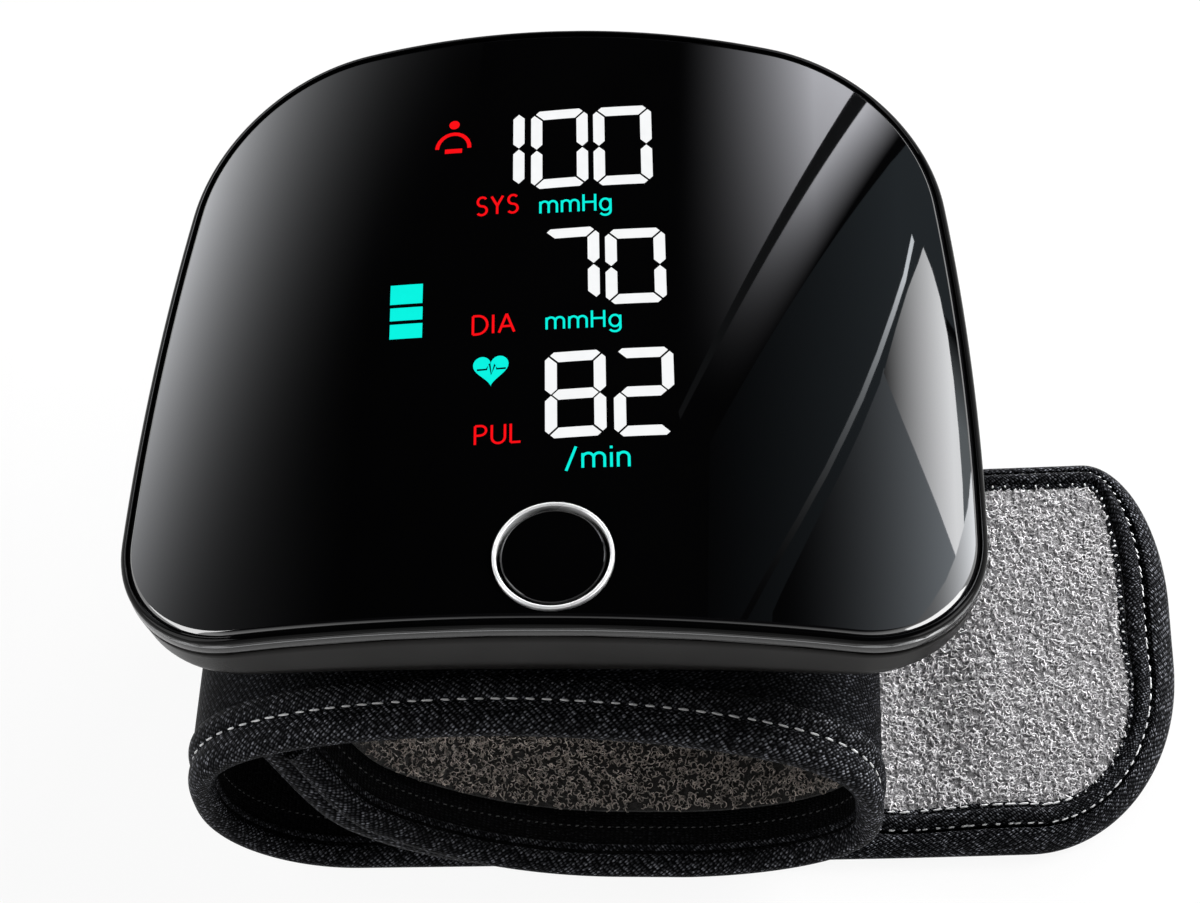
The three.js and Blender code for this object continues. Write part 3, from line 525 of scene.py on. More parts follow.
stiffener_sheet = moulded("stiffener sheet", (0.5, 0.5, 0.5), 0.5, 0.5, 0.01)


THREAD_SLIMNESS = 1.7
THREAD_SCATTER = 0.42
THREAD_REACH = (0.46, 0.08)
FEW_GLINTS = 2.6
DIMMEST_GLINT = 0.08
GLINT_PATCH_SIZE = 4.0
GLINT_PATCH_SHARE = 0.65


# Woven cloth: near black ground under slanting rows of short threads, whose tops are painted glints in the
# base colour: a few bright, most dim, and brighter in patches
def cloth(name, colour, glint_colour, pitch, turn, depth, gloss=0.014):
    material, shader = new_look(name, colour, 0.45, Specular_IOR_Level=gloss)
    slim = add_node(material, "ShaderNodeMapping", {
        "Vector": weave_mm(material, turn), "Scale": (1 / pitch, THREAD_SLIMNESS / pitch, 1),
    })
    threads = add_node(material, "ShaderNodeTexVoronoi", {
        "Vector": slim.outputs["Vector"], "Scale": 1.0, "Randomness": THREAD_SCATTER,
    }, voronoi_dimensions="2D")
    crown = between(material, threads.outputs["Distance"], *THREAD_REACH, 0, 1)
    tone = add_node(material, "ShaderNodeSeparateColor", {"Color": threads.outputs["Color"]}).outputs["Red"]
    # Painted glints: bright on a few threads only, and brighter in some patches than in others
    lift = between(material, maths(material, "POWER", tone, FEW_GLINTS), 0, 1, DIMMEST_GLINT, 1.0)
    patch = noise(material, object_mm(material), GLINT_PATCH_SIZE)
    glint_patch = between(material, patch, 0.3, 0.7, GLINT_PATCH_SHARE, 1.0)
    shine = maths(material, "MULTIPLY", maths(material, "MULTIPLY", crown, lift), glint_patch)
    wire(material, shader.inputs["Base Color"], blended(material, shine, colour, glint_colour))
    bump(material, shader, crown, depth)
    return material


# The second colour of each cloth is its painted thread glint
cover_cloth = cloth("cover cloth", (0.0022, 0.0023, 0.0028), (0.13, 0.135, 0.155), 0.52, 0.6, 0.24)
binding_tape = cloth("binding tape", (0.0026, 0.0027, 0.0032), (0.54, 0.552, 0.62), 0.52, 0.7, 0.26)
piping_cloth = cloth("piping cloth", (0.0026, 0.0027, 0.0032), (0.42, 0.43, 0.48), 0.5, 0.9, 0.24)
lining_cloth = cloth("lining cloth", (0.0018, 0.0018, 0.002), (0.025, 0.025, 0.028), 0.5, 0.0, 0.2, 0.03)
hook_tape = cloth("hook tape", (0.012, 0.012, 0.013), (0.1, 0.1, 0.105), 0.8, 0.0, 0.4)


FELT_TANGLE = 0.5
FELT_DEPTH = 0.5
STRAND_GRAIN = 0.15
STRAND_DEPTH = 0.03


# Felted ground under the loop pile
def felt(name, dark, light):
    material, shader = new_look(name, dark, 1.0, Sheen_Weight=0.2)
    tangle = noise(material, object_mm(material), FELT_TANGLE, 4.0, 0.7)
    share = between(material, tangle, 0.35, 0.75, 0, 1)
    wire(material, shader.inputs["Base Color"], blended(material, share, dark, light))
    bump(material, shader, tangle, FELT_DEPTH)
    return material


# Yarn and thread, lighter and darker in patches
def strand(name, dark, light, roughness=0.8, size=1.6):
    material, shader = new_look(name, light, roughness, Sheen_Weight=0.15)
    place = object_mm(material)
    patch = noise(material, place, size, 3.0, 0.6)
    share = between(material, patch, 0.3, 0.7, 0, 1)
    wire(material, shader.inputs["Base Color"], blended(material, share, dark, light))
    bump(material, shader, noise(material, place, STRAND_GRAIN), STRAND_DEPTH)
    return material


pile_felt = felt("pile ground", (0.16, 0.157, 0.162), (0.5, 0.495, 0.505))
pile_loop = strand("pile loops", (0.42, 0.413, 0.42), (0.92, 0.905, 0.925), size=0.55)
# Inside the loop the pile takes much darker copies of the pile looks: painted shade
felt_in_painted_shade = felt("painted shade pile ground", (0.004, 0.0035, 0.003), (0.022, 0.019, 0.017))
loops_in_painted_shade = strand("painted shade pile loops", (0.06, 0.052, 0.046), (0.84, 0.75, 0.68), size=0.5)
thread = strand("stitch thread", (0.55, 0.55, 0.56), (0.85, 0.85, 0.86), 0.6)
# The inner stitches are a much darker copy of the stitch thread: painted shade
thread_in_painted_shade = strand("painted shade thread", (0.012, 0.012, 0.013), (0.07, 0.07, 0.073), 0.6)


UNLIT = (0.002, 0.002, 0.002)
GLOW_SIZE = 1.5
GLOW_RANGE = (0.94, 1.0)


# Segments, words and symbols that glow
def lit(name, colour):
    material, shader = new_look(name, UNLIT, 0.3, Specular_IOR_Level=0.0, Emission_Strength=1.0)
    shade = between(material, noise(material, object_mm(material), GLOW_SIZE), 0.2, 0.8, *GLOW_RANGE)
    wire(material, shader.inputs["Emission Color"], blended(material, shade, (0, 0, 0), colour))
    return material


white_light = lit("white segments", (0.96, 0.97, 0.98))
red_light = lit("red legend", (1.0, 0.003, 0.006))
cyan_light = lit("cyan legend", (0.001, 0.93, 0.78))

# Looks of the pieces that the frame shows itself, by slot
SLOT_LOOKS = {
    "band_grey": band_grey, "case_grey": case_grey, "black_plastic": black_plastic,
    "white_plastic": white_plastic, "board_green": board_green, "cell_foil": cell_foil,
    "plain_steel": plain_steel, "soft_rubber": soft_rubber, "clear_tube": clear_tube,
    "stiffener_sheet": stiffener_sheet,
}
for part in frame["record"]["subparts"]:
    if part["material_slot"] in SLOT_LOOKS:
        node_mesh = frame["nodes"][part["node"]].data
        node_mesh.materials.clear()
        node_mesh.materials.append(SLOT_LOOKS[part["material_slot"]])


# Display unit

# The face is part of a cylinder, so its normals are known exactly
def curve_shading(piece):
    mesh = piece.data
    near = 0.985
    normals = [Vector(c.vector) for c in mesh.corner_normals]
    for loop in mesh.loops:
        x = mesh.vertices[loop.vertex_index].co.x / MM
        true = Vector((x, 0, math.sqrt(FACE_RADIUS ** 2 - x * x))) / FACE_RADIUS
        if normals[loop.index].dot(true) > near:
            normals[loop.index] = true
    mesh.normals_split_custom_set(normals)


# Inset and depth round the lens edge, from its side to its face
def lens_edge(proud=0.0):
    edge = []
    for share in shares(6):
        depth = LENS_EDGE_DEPTH * (1 - share) ** LENS_EDGE_CURVE
        edge.append((LENS_INSET + LENS_EDGE_WIDTH * share, depth - proud))
    return edge


def front_lens():
    rings = [face_ring(LENS_INSET, LENS_THICKNESS)]
    rings += [face_ring(inset, depth) for inset, depth in lens_edge()]
    hole = circle(BUTTON_X, BUTTON_Y, RING_RADIUS + SEAM, 96)
    rim = [(x, y) for x, y, z in rings[-1]]
    flat, triangles = filled([rim, hole], LENS_SPACING)
    top = [(x, y, face_z(x)) for x, y in flat], triangles
    low_rim = [(x, y) for x, y, z in rings[0]]
    flat, triangles = filled([low_rim, hole], LENS_BACK_SPACING)
    low = [(x, y, face_z(x, LENS_THICKNESS)) for x, y in flat], triangles
    hole_wall = rings_mesh([
        [(x, y, face_z(x)) for x, y in hole],
        [(x, y, face_z(x, LENS_THICKNESS)) for x, y in hole],
    ])
    points, faces = gather(rings_mesh(rings), top, low, hole_wall)
    piece = put("front_lens_glass", points, faces, gloss_black, "unit")
    merge_points(piece, crease=20)
    curve_shading(piece)
    dress(piece, "front_lens")


# A closed band that follows the case outline under the curved face
def face_band(name, profile, material, node=None, crease=35):
    rings = [face_ring(inset, depth) for inset, depth in profile]
    dress(put(name, *rings_mesh(rings, loop=True), material, "unit", crease=crease), node)


def lens_trim():
    inner = LENS_INSET + LENS_EDGE_WIDTH
    back = [(inner, LENS_TRIM_SUNK), (LENS_INSET, LENS_EDGE_DEPTH + LENS_TRIM_SUNK)]
    face_band("front_lens_edge", lens_edge(LENS_TRIM_PROUD) + back, edge_gloss)


def bezel_ring():
    profile = [(RIM_WIDTH, RIM_DROP), (RIM_WIDTH, RIM_BEVEL + RIM_TOP), (RIM_WIDTH - RIM_BEVEL, RIM_TOP)]
    for share in shares(14):
        angle = math.pi / 2 * share
        inset = (RIM_WIDTH - RIM_BEVEL - RIM_FLAT) * (1 - math.sin(angle))
        profile.append((inset, RIM_TOP + (RIM_DROP - RIM_TOP) * (1 - math.cos(angle))))
    face_band("bezel_ring_rim", profile, rim_black, "bezel_ring", crease=25)


# The grey band, and the bright bevel along its upper edge
def upper_band():
    inset = SEAM / 3 - SKIN
    tuck = 0.1
    overlap = 0.01
    inner = inset + BAND_BEVEL
    edge = BAND_TOP + BAND_BEVEL * BAND_BEVEL_SLOPE
    corner = BAND_ROUNDING / 4
    face_band("upper_case_band", [
        (BAND_INSIDE, BAND_TOP + tuck), (inner, BAND_TOP + tuck), (inset, edge),
        (inset, BAND_BOTTOM - BAND_ROUNDING), (inset + corner, BAND_BOTTOM - corner),
        (inset + BAND_ROUNDING, BAND_BOTTOM + overlap), (BAND_INSIDE, BAND_BOTTOM + overlap),
    ], band_grey)
    crown = 0.1
    ledge = 0.04
    polished = []
    for share in shares(6):
        fall = BAND_BEVEL * (share + crown * share ** 2)
        polished.append((inset + BAND_BEVEL * (1 - share), BAND_TOP - overlap + fall))
    polished += [(inset, edge - ledge), (inner, edge)]
    face_band("upper_case_edge", polished, edge_grey)


def tub_ring(inset, share, drop=0.0):
    ring = []
    for x, y in outline(SEAM + inset - SKIN, BASE_CORNER_GROWTH * share):
        top = face_z(x, LOWER_TOP + drop)
        ring.append((x, y, top + share * (BASE_Z - top)))
    return ring


def lower_skin():
    overlap = -0.02
    lip_corner = LOWER_LIP * 0.3
    inner_floor = 0.97
    rings = [tub_ring(LOWER_WALL, 0, overlap), tub_ring(LOWER_LIP, 0, overlap)]
    rings += [tub_ring(lip_corner, 0, lip_corner), tub_ring(0, 0, LOWER_LIP)]
    for i in range(1, 5):
        rings.append(tub_ring(WALL_DRAFT * i / 4, WALL_SHARE * i / 4))
    turn = 16
    levels = []
    for i in range(1, turn + 1):
        angle = math.pi / 2 * i / turn
        levels.append((WALL_DRAFT + BASE_FILLET * (1 - math.cos(angle)),
                       WALL_SHARE + (1 - WALL_SHARE) * math.sin(angle)))
    rings += [tub_ring(inset, share) for inset, share in levels]
    inner = [(inset + LOWER_WALL, share * inner_floor) for inset, share in levels]
    rings += [tub_ring(inset, share) for inset, share in reversed(inner)]
    piece = put("lower_case_shell", *rings_mesh(rings, loop=True), case_grey, None, crease=50)
    low = (USB_LOW[0] - USB_CLEAR, USB_HIGH[1] - USB_CUT[0], USB_LOW[2] - USB_CLEAR)
    high = (USB_HIGH[0] + USB_CLEAR, USB_HIGH[1] + USB_CUT[1], USB_HIGH[2] + USB_CLEAR)
    cut_away(piece, *rounded_slot(low, high, USB_CORNER))
    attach(piece, "unit")


# A slot with round ends, running along Y
def rounded_slot(low, high, radius):
    ring = []
    centre_x = (low[0] + high[0]) / 2
    centre_z = (low[2] + high[2]) / 2
    run_x = (high[0] - low[0]) / 2 - radius
    run_z = (high[2] - low[2]) / 2 - radius
    steps = 40
    for i in range(steps):
        angle = 2 * math.pi * (i + 0.5) / steps
        ring.append((centre_x + math.copysign(run_x, math.cos(angle)) + radius * math.cos(angle),
                     centre_z + math.copysign(run_z, math.sin(angle)) + radius * math.sin(angle)))
    rings = [[(x, y, z) for x, z in ring] for y in (low[1], high[1])]
    return rings_mesh(rings, capped=True)


def cut_away(piece, points, faces):
    cutter = put(piece.name + "_cutter", points, faces, case_grey, None)
    modifier = piece.modifiers.new("cut", "BOOLEAN")
    modifier.operation = "DIFFERENCE"
    modifier.solver = "EXACT"
    modifier.object = cutter
    graph = bpy.context.evaluated_depsgraph_get()
    mesh = bpy.data.meshes.new_from_object(piece.evaluated_get(graph))
    piece.modifiers.clear()
    piece.data = mesh
    bpy.data.objects.remove(cutter)
    merge_points(piece, crease=50)


def button_ring():
    low, top = RING_LOW[2], RING_HIGH[2] + RING_PROUD
    half = RING_WIDTH / 2
    middle = RING_RADIUS - half
    profile = [(middle - half, low), (middle + half, low)]
    for share in shares(10):
        angle = math.pi * share
        profile.append((middle + half * math.cos(angle), top - half + half * math.sin(angle)))
    ring = lathe(profile, BUTTON_X, BUTTON_Y, 128, loop=True)
    piece = put("button_ring_bright", *ring, bright_ring, "unit", crease=50)
    dress(piece, "button_ring")


def start_button():
    low, top = CAP_LOW[2], CAP_HIGH[2]
    profile = [(CAP_RADIUS, low)]
    for share in shares(8):
        angle = math.pi / 2 * share
        radius = CAP_RADIUS - CAP_EDGE * (1 - math.cos(angle))
        profile.append((radius, top - CAP_EDGE * (1 - math.sin(angle))))
    cap = lathe(profile, BUTTON_X, BUTTON_Y)
    tab_low = (CAP_LOW[0], BUTTON_Y - TAB_WIDTH / 2, low)
    tab_high = (CAP_HIGH[0], BUTTON_Y + TAB_WIDTH / 2, low + TAB_THICKNESS)
    piece = put("start_button_cap", *gather(cap, block_mesh(tab_low, tab_high)), button_black, "button")
    dress(piece, "start_button")


front_lens()
lens_trim()
bezel_ring()
upper_band()
lower_skin()
button_ring()
start_button()


# Display: lit shapes that lie on the face

GLYPH_LEAN = -0.045
DIGIT_RISE = 0.085
WORD_RISE = 0.055
DECAL_RISE = 0.02
DECAL_SINK = 0.1


def decal(loop, spacing=0.8, rise=DECAL_RISE):
    return plate(loop, lambda x, y: face_z(x) + rise, lambda x, y: face_z(x) - DECAL_SINK, spacing)


def split_edges(loop, step=0.8):
    out = []
    for i, a in enumerate(loop):
        b = loop[(i + 1) % len(loop)]
        count = max(1, round(math.dist(a, b) / step))
        for k in range(count):
            out.append((a[0] + (b[0] - a[0]) * k / count, a[1] + (b[1] - a[1]) * k / count))
    return out


STROKE = 1.16
CORNER_CUT = 0.36
SEGMENT_GAP = 0.15
MIDDLE_GAP = 0.08
SEGMENTS_OF = {
    "0": "abcdef", "1": "ij", "2": "abged", "7": "abc", "8": "abcdefg",
}


# The seven mitred bars of a digit, and the two pointed bars of a lone one
def segment_shapes(width, height):
    t, c, g = STROKE, CORNER_CUT, SEGMENT_GAP
    mid = height / 2
    half = t / 2
    across = [
        (c + g, height - c), (2 * c + g, height), (width - 2 * c - g, height),
        (width - c - g, height - c), (width - t - g, height - t), (t + g, height - t),
    ]
    upright = [
        (0, height - 2 * c - g), (c, height - c - g), (t, height - t - g),
        (t, mid + half + MIDDLE_GAP), (half, mid + MIDDLE_GAP), (0, mid + half + MIDDLE_GAP),
    ]
    middle = [
        (half + g, mid), (t + g, mid + half), (width - t - g, mid + half),
        (width - half - g, mid), (width - t - g, mid - half), (t + g, mid - half),
    ]
    lone = [
        (width - t, height - t), (width - half, height - half), (width, height - t),
        (width, mid + half + MIDDLE_GAP), (width - half, mid + MIDDLE_GAP),
        (width - t, mid + half + MIDDLE_GAP),
    ]

    def flipped(shape):
        return [(x, height - y) for x, y in reversed(shape)]

    def mirrored(shape):
        return [(width - x, y) for x, y in reversed(shape)]

    return {
        "a": across, "d": flipped(across), "f": upright, "e": flipped(upright),
        "b": mirrored(upright), "c": mirrored(flipped(upright)), "g": middle,
        "i": lone, "j": flipped(lone),
    }


def placed(shape, x, y, rise):
    return [(x + u + GLYPH_LEAN * v, y + v + rise * u) for u, v in shape]


# Character, lower left corner on the face, width and height
DIGITS = [
    ("1", -9.4, 16.05, 5.75, 10.2),
    ("0", -2.95, 16.25, 5.85, 10.1),
    ("0", 3.47, 16.65, 6.0, 10.15),
    ("7", -1.2, 1.85, 5.75, 9.2),
    ("0", 5.16, 1.9, 6.0, 9.15),
    ("8", -0.2, -13.85, 5.9, 9.9),
    ("2", 6.45, -13.55, 5.85, 10.15),
]


def digits():
    parts = []
    for character, x, y, width, height in DIGITS:
        shapes = segment_shapes(width, height)
        for letter in SEGMENTS_OF[character]:
            parts.append(decal(split_edges(placed(shapes[letter], x, y, DIGIT_RISE))))
    dress(put("display_digits", *gather(*parts), white_light, "unit"))


def sweep_of(x, y, across, up, start, end):
    steps = max(6, round(abs(end - start) / 15))
    turns = [math.radians(start + (end - start) * i / steps) for i in range(steps + 1)]
    return [(x + across * math.cos(a), y + up * math.sin(a)) for a in turns]


ARCH = sweep_of(0.22, 0.47, 0.22, 0.23, 180, 0)

# Strokes of the letters, in heights of a capital
LETTERS = {
    "S": [sweep_of(0.29, 0.75, 0.25, 0.25, 35, 262) + sweep_of(0.27, 0.25, 0.27, 0.25, 82, -145)],
    "Y": [[(0, 1), (0.31, 0.46)], [(0.62, 1), (0.31, 0.46)], [(0.31, 0.5), (0.31, 0)]],
    "D": [[(0, 0), (0, 1)], [(0, 1)] + sweep_of(0.22, 0.5, 0.44, 0.5, 90, -90) + [(0, 0)]],
    "I": [[(0, 0), (0, 1)]],
    "A": [[(0, 0), (0.35, 1)], [(0.7, 0), (0.35, 1)], [(0.13, 0.33), (0.57, 0.33)]],
    "P": [[(0, 0), (0, 1)], [(0, 1)] + sweep_of(0.24, 0.74, 0.28, 0.26, 90, -90) + [(0, 0.48)]],
    "U": [[(0, 1)] + sweep_of(0.31, 0.33, 0.31, 0.33, 180, 360) + [(0.62, 1)]],
    "L": [[(0, 1), (0, 0)], [(0, 0), (0.46, 0)]],
    "m": [[(0, 0), (0, 0.7)], ARCH + [(0.44, 0)], [(x + 0.44, y) for x, y in ARCH] + [(0.88, 0)]],
    "n": [[(0, 0), (0, 0.7)], ARCH + [(0.44, 0)]],
    "i": [[(0, 0), (0, 0.7)], [(0, 0.9), (0, 1.02)]],
    "H": [[(0, 0), (0, 1)], [(0.62, 0), (0.62, 1)], [(0, 0.54), (0.62, 0.54)]],
    "g": [
        sweep_of(0.27, 0.36, 0.27, 0.34, 20, 340),
        [(0.54, 0.7)] + sweep_of(0.26, -0.04, 0.28, 0.24, 0, -150),
    ],
    "/": [[(0, -0.12), (0.4, 1.04)]],
}
LETTER_WEIGHT = 0.115
LETTER_SPACE = 0.27
WORD_SPACING = 2.0

# Words and units: text, lower left corner on the face, width, and height of a capital
LEGENDS = {
    "red": [
        ("SYS", -8.35, 13.2, 4.15, 2.25),
        ("DIA", -7.9, -1.5, 4.1, 2.2),
        ("PUL", -6.95, -14.35, 4.4, 2.1),
    ],
    "cyan": [
        ("mmHg", -1.85, 13.2, 7.1, 2.1),
        ("mmHg", -0.6, -1.1, 7.25, 2.0),
        ("/min", 1.95, -17.15, 6.0, 2.3),
    ],
}


def ribbon(line, width):
    left = []
    right = []
    for i, p in enumerate(line):
        a = line[max(i - 1, 0)]
        b = line[min(i + 1, len(line) - 1)]
        run = math.dist(a, b)
        nx, ny = -(b[1] - a[1]) / run, (b[0] - a[0]) / run
        left.append((p[0] + nx * width / 2, p[1] + ny * width / 2))
        right.append((p[0] - nx * width / 2, p[1] - ny * width / 2))
    return left + right[::-1]


def word_parts(text, x, y, width, height):
    spans = []
    at = 0
    for letter in text:
        spans.append(at)
        at += max(u for line in LETTERS[letter] for u, v in line) + LETTER_SPACE
    stretch = width / ((at - LETTER_SPACE) * height)
    parts = []
    for letter, start in zip(text, spans):
        for line in LETTERS[letter]:
            scaled = [((start + u) * height * stretch, v * height) for u, v in line]
            loop = ribbon(scaled, LETTER_WEIGHT * height)
            parts.append(decal(placed(loop, x, y, WORD_RISE), WORD_SPACING))
    return parts


def legends():
    for colour, look in (("red", red_light), ("cyan", cyan_light)):
        parts = [part for entry in LEGENDS[colour] for part in word_parts(*entry)]
        dress(put(f"display_words_{colour}", *gather(*parts), look, "unit"))


def heart_loop(x, y, width, height):
    loop = []
    steps = 48
    for i in range(steps):
        t = 2 * math.pi * i / steps
        u = 16 * math.sin(t) ** 3 / 32 + 0.5
        v = (13 * math.cos(t) - 5 * math.cos(2 * t) - 2 * math.cos(3 * t) - math.cos(4 * t) + 17) / 29
        loop.append((u * width, v * height))
    return placed(loop, x, y, WORD_RISE)


# Level blocks, as lower left corner, width and height
LEVEL_BLOCKS = [(-16.3, -1.45, 3.3, 1.75), (-16.42, 0.75, 3.3, 1.55), (-16.55, 2.75, 3.3, 2.35)]
LEVEL_RISE = -0.01
HEART = (-7.55, -7.75, 3.5, 3.5)
PULSE_LINE = [
    (-7.25, -5.75), (-6.3, -5.7), (-6.05, -4.95), (-5.8, -6.3),
    (-5.5, -5.1), (-5.3, -5.65), (-4.4, -5.6),
]
PULSE_WEIGHT = 0.2
MARK_HEAD = (-11.4, 25.2, 0.55)
MARK_ARCH = (-11.35, 22.1, 1.7, 1.9)
MARK_ARCH_WEIGHT = 0.42
MARK_FOOT = [(-12.2, 21.75), (-10.4, 21.75)]
MARK_FOOT_WEIGHT = 0.55
SYMBOL_SPACING = 0.6


def symbols():
    parts = []
    for x, y, width, height in LEVEL_BLOCKS:
        loop = [(0, 0), (width, 0), (width, height), (0, height)]
        parts.append(decal(split_edges(placed(loop, x, y, LEVEL_RISE))))
    parts.append(decal(heart_loop(*HEART), SYMBOL_SPACING))
    dress(put("display_symbols", *gather(*parts), cyan_light, "unit"))
    pulse = decal(ribbon(PULSE_LINE, PULSE_WEIGHT), SYMBOL_SPACING, DECAL_RISE * 2)
    dress(put("display_pulse_line", *pulse, gloss_black, "unit"))
    loops = [
        circle(*MARK_HEAD, 24),
        ribbon(sweep_of(*MARK_ARCH, 0, 180), MARK_ARCH_WEIGHT),
        ribbon(MARK_FOOT, MARK_FOOT_WEIGHT),
    ]
    parts = [decal(loop, SYMBOL_SPACING) for loop in loops]
    dress(put("display_mark", *gather(*parts), red_light, "unit"))


digits()
legends()
symbols()


# Route of the strap in the X and Z plane, from its inner end, round the loop, to the table

def strap_route():
    line = []

    def arc(x, z, a, b, start, end, steps, fullness=1.0):
        for i in range(steps):
            angle = math.radians(start + (end - start) * i / steps)
            height = math.copysign(abs(math.sin(angle)) ** fullness, math.sin(angle))
            line.append((x + a * math.cos(angle), z + b * height))

    arc(INNER_X, INNER_Z + INNER_RADIUS, INNER_RADIUS, INNER_RADIUS, INNER_END, 270, 140)
    bend = LOOP_CENTRE + LOOP_ACROSS - INNER_BEND
    line.extend((INNER_X + (INNER_BEND - INNER_X) * i / 20, INNER_Z) for i in range(20))
    right_start = len(line)
    arc(INNER_BEND, LOOP_Z, bend, LOOP_Z - INNER_Z, 270, 360, 80)
    arc(LOOP_CENTRE, LOOP_Z, LOOP_ACROSS, LOOP_RISE, 0, 90, 130, RIGHT_FULLNESS)
    crown = len(line)
    arc(LOOP_CENTRE, LOOP_Z, LOOP_ACROSS, LOOP_RISE, 90, 180, 130, LEFT_FULLNESS)
    turn_x = LOOP_CENTRE - LOOP_ACROSS + LOWER_LEFT
    arc(turn_x, LOOP_Z, LOWER_LEFT, LOWER_LEFT, 180, 270, 80)
    line.extend((turn_x + (TAIL_END - turn_x) * i / 200, STRAP_HALF) for i in range(201))
    lengths = [0]
    for a, b in zip(line, line[1:]):
        lengths.append(lengths[-1] + math.dist(a, b))
    return line, lengths, lengths[right_start], lengths[crown]


ROUTE, LENGTHS, RIGHT_S, CROWN_S = strap_route()
END_S = LENGTHS[-1]
SPLIT_S = END_S - (TAIL_END - SPLIT_X)


def station(s):
    i = min(max(bisect.bisect_left(LENGTHS, s), 1), len(ROUTE) - 1)
    a, b = ROUTE[i - 1], ROUTE[i]
    share = (s - LENGTHS[i - 1]) / (LENGTHS[i] - LENGTHS[i - 1])
    before, after = ROUTE[max(i - 2, 0)], ROUTE[min(i + 1, len(ROUTE) - 1)]
    run = math.dist(before, after)
    nx, nz = (after[1] - before[1]) / run, -(after[0] - before[0]) / run
    return a[0] + (b[0] - a[0]) * share, a[1] + (b[1] - a[1]) * share, nx, nz


def eased(value):
    share = min(max(value, 0), 1)
    return share * share * (3 - 2 * share)


# The strap is wrapped a little askew, so its front edge drifts along Y
def front_at(s):
    if s < CROWN_S:
        share = min(1, (CROWN_S - s) / (CROWN_S - RIGHT_S))
        return STRAP_FRONT - SKEW_INNER * share + INNER_SETBACK * eased(1 - s / SETBACK_RUN)
    return STRAP_FRONT + SKEW_TAIL * ((s - CROWN_S) / (END_S - CROWN_S)) ** 2


def strap_point(s, across, out):
    x, z, nx, nz = station(s)
    return x + nx * out, front_at(s) + across, max(z + nz * out, 0)


def steps_between(start, end, step):
    count = max(2, round((end - start) / step))
    return [start + (end - start) * i / count for i in range(count + 1)]


# Sections of the cuff's layers: distance in from the edge, and height out from the strap's middle
OUT_FACE = 1.38
IN_FACE = 1.5
ROLL_REACH = 1.9
CUFF_HOLLOW = 0.34
TAIL_HOLLOW = 0.85
RIDGE_BASE = 0.7
FLANGE_FACE = 1.22
OUTER_RIDGE_RISE = 0.3
TAIL_RIDGE_RISE = 0.4
COVER_FROM = 5.2
COVER_FACES = (1.3, 0.75)
LINING_FROM = 1.8
LINING_FACES = (-0.7, -1.15)
GROUND_FACES = (-1.1, -1.5)
GROUND_START = 2.5
HOOK_FROM = 4.6
HOOK_FACES = (2.4, 1.7)
HOOK_REACH = 13
TAIL_COVER_FACES = (0.6, 1.3)
TAIL_GROUND_FROM = 5.6
TAIL_GROUND_FACES = (-1.1, -0.5)
STRAP_STEP = 0.8


def binding_half(width, height, hollow):
    half = []
    crowding = 1.6
    tucked = 0.6
    for share in shares(14):
        d = width * share ** crowding
        body = math.sqrt(1 - (1 - min(d / ROLL_REACH, 1)) ** 2)
        tuck = 1 - hollow * max(0, (d - width * tucked) / (width * (1 - tucked))) ** 2
        half.append((d, height * body * tuck))
    return half


def binding_section(inner_width, hollow=CUFF_HOLLOW):
    outer = binding_half(BINDING, OUT_FACE, CUFF_HOLLOW)
    inner = binding_half(inner_width, -IN_FACE, hollow)
    return outer + inner[:0:-1]


def ridge_section(side, span, top, flange=0.0):
    middle = (span[0] + span[1]) / 2
    half = (span[1] - span[0]) / 2
    section = []
    for share in shares(12):
        angle = math.pi * share
        height = RIDGE_BASE + (top - RIDGE_BASE) * math.sin(angle)
        section.append((middle - half * math.cos(angle), side * height))
    if flange:
        far = span[1] + flange
        section[-1] = (span[1], side * FLANGE_FACE)
        section += [(far, side * FLANGE_FACE), (far, side * RIDGE_BASE)]
    return section


def sheet_section(from_edge, outer, inner):
    places = [from_edge + (STRAP_WIDTH - 2 * from_edge) * share for share in shares(24)]
    return [(d, outer) for d in places] + [(d, inner) for d in reversed(places)]


def swept(name, section, start, end, material, back=False):
    lengths = steps_between(start, end, STRAP_STEP)
    rings = []
    for s in lengths:
        rings.append([strap_point(s, STRAP_WIDTH - d if back else d, n) for d, n in section])
    return cloth_tube(name, rings, lengths, material, "unit")


FOLD_RUN = 42
FOLD_TAPER = 0.6
FOLD_THICKNESS = 3.0
FOLD_INSET = 0.9
FOLD_ROLL = 1.2


# A second fold of cloth lies along the outside of the inner end
def inner_fold():
    base = COVER_FACES[0]
    far = STRAP_WIDTH - FOLD_INSET
    lengths = steps_between(0, FOLD_RUN, STRAP_STEP)
    rings = []
    for s in lengths:
        thick = FOLD_THICKNESS * eased((FOLD_RUN - s) / (FOLD_RUN * FOLD_TAPER))
        ring = []
        for share in shares(16):
            angle = math.pi * (share - 0.5)
            d = FOLD_INSET + FOLD_ROLL * (1 - math.cos(angle))
            ring.append(strap_point(s, d, base + thick * (0.5 + 0.5 * math.sin(angle))))
        ring += [strap_point(s, far, base + thick), strap_point(s, far, base)]
        rings.append(ring)
    dress(cloth_tube("cuff_inner_fold", rings, lengths, binding_tape, "unit"))


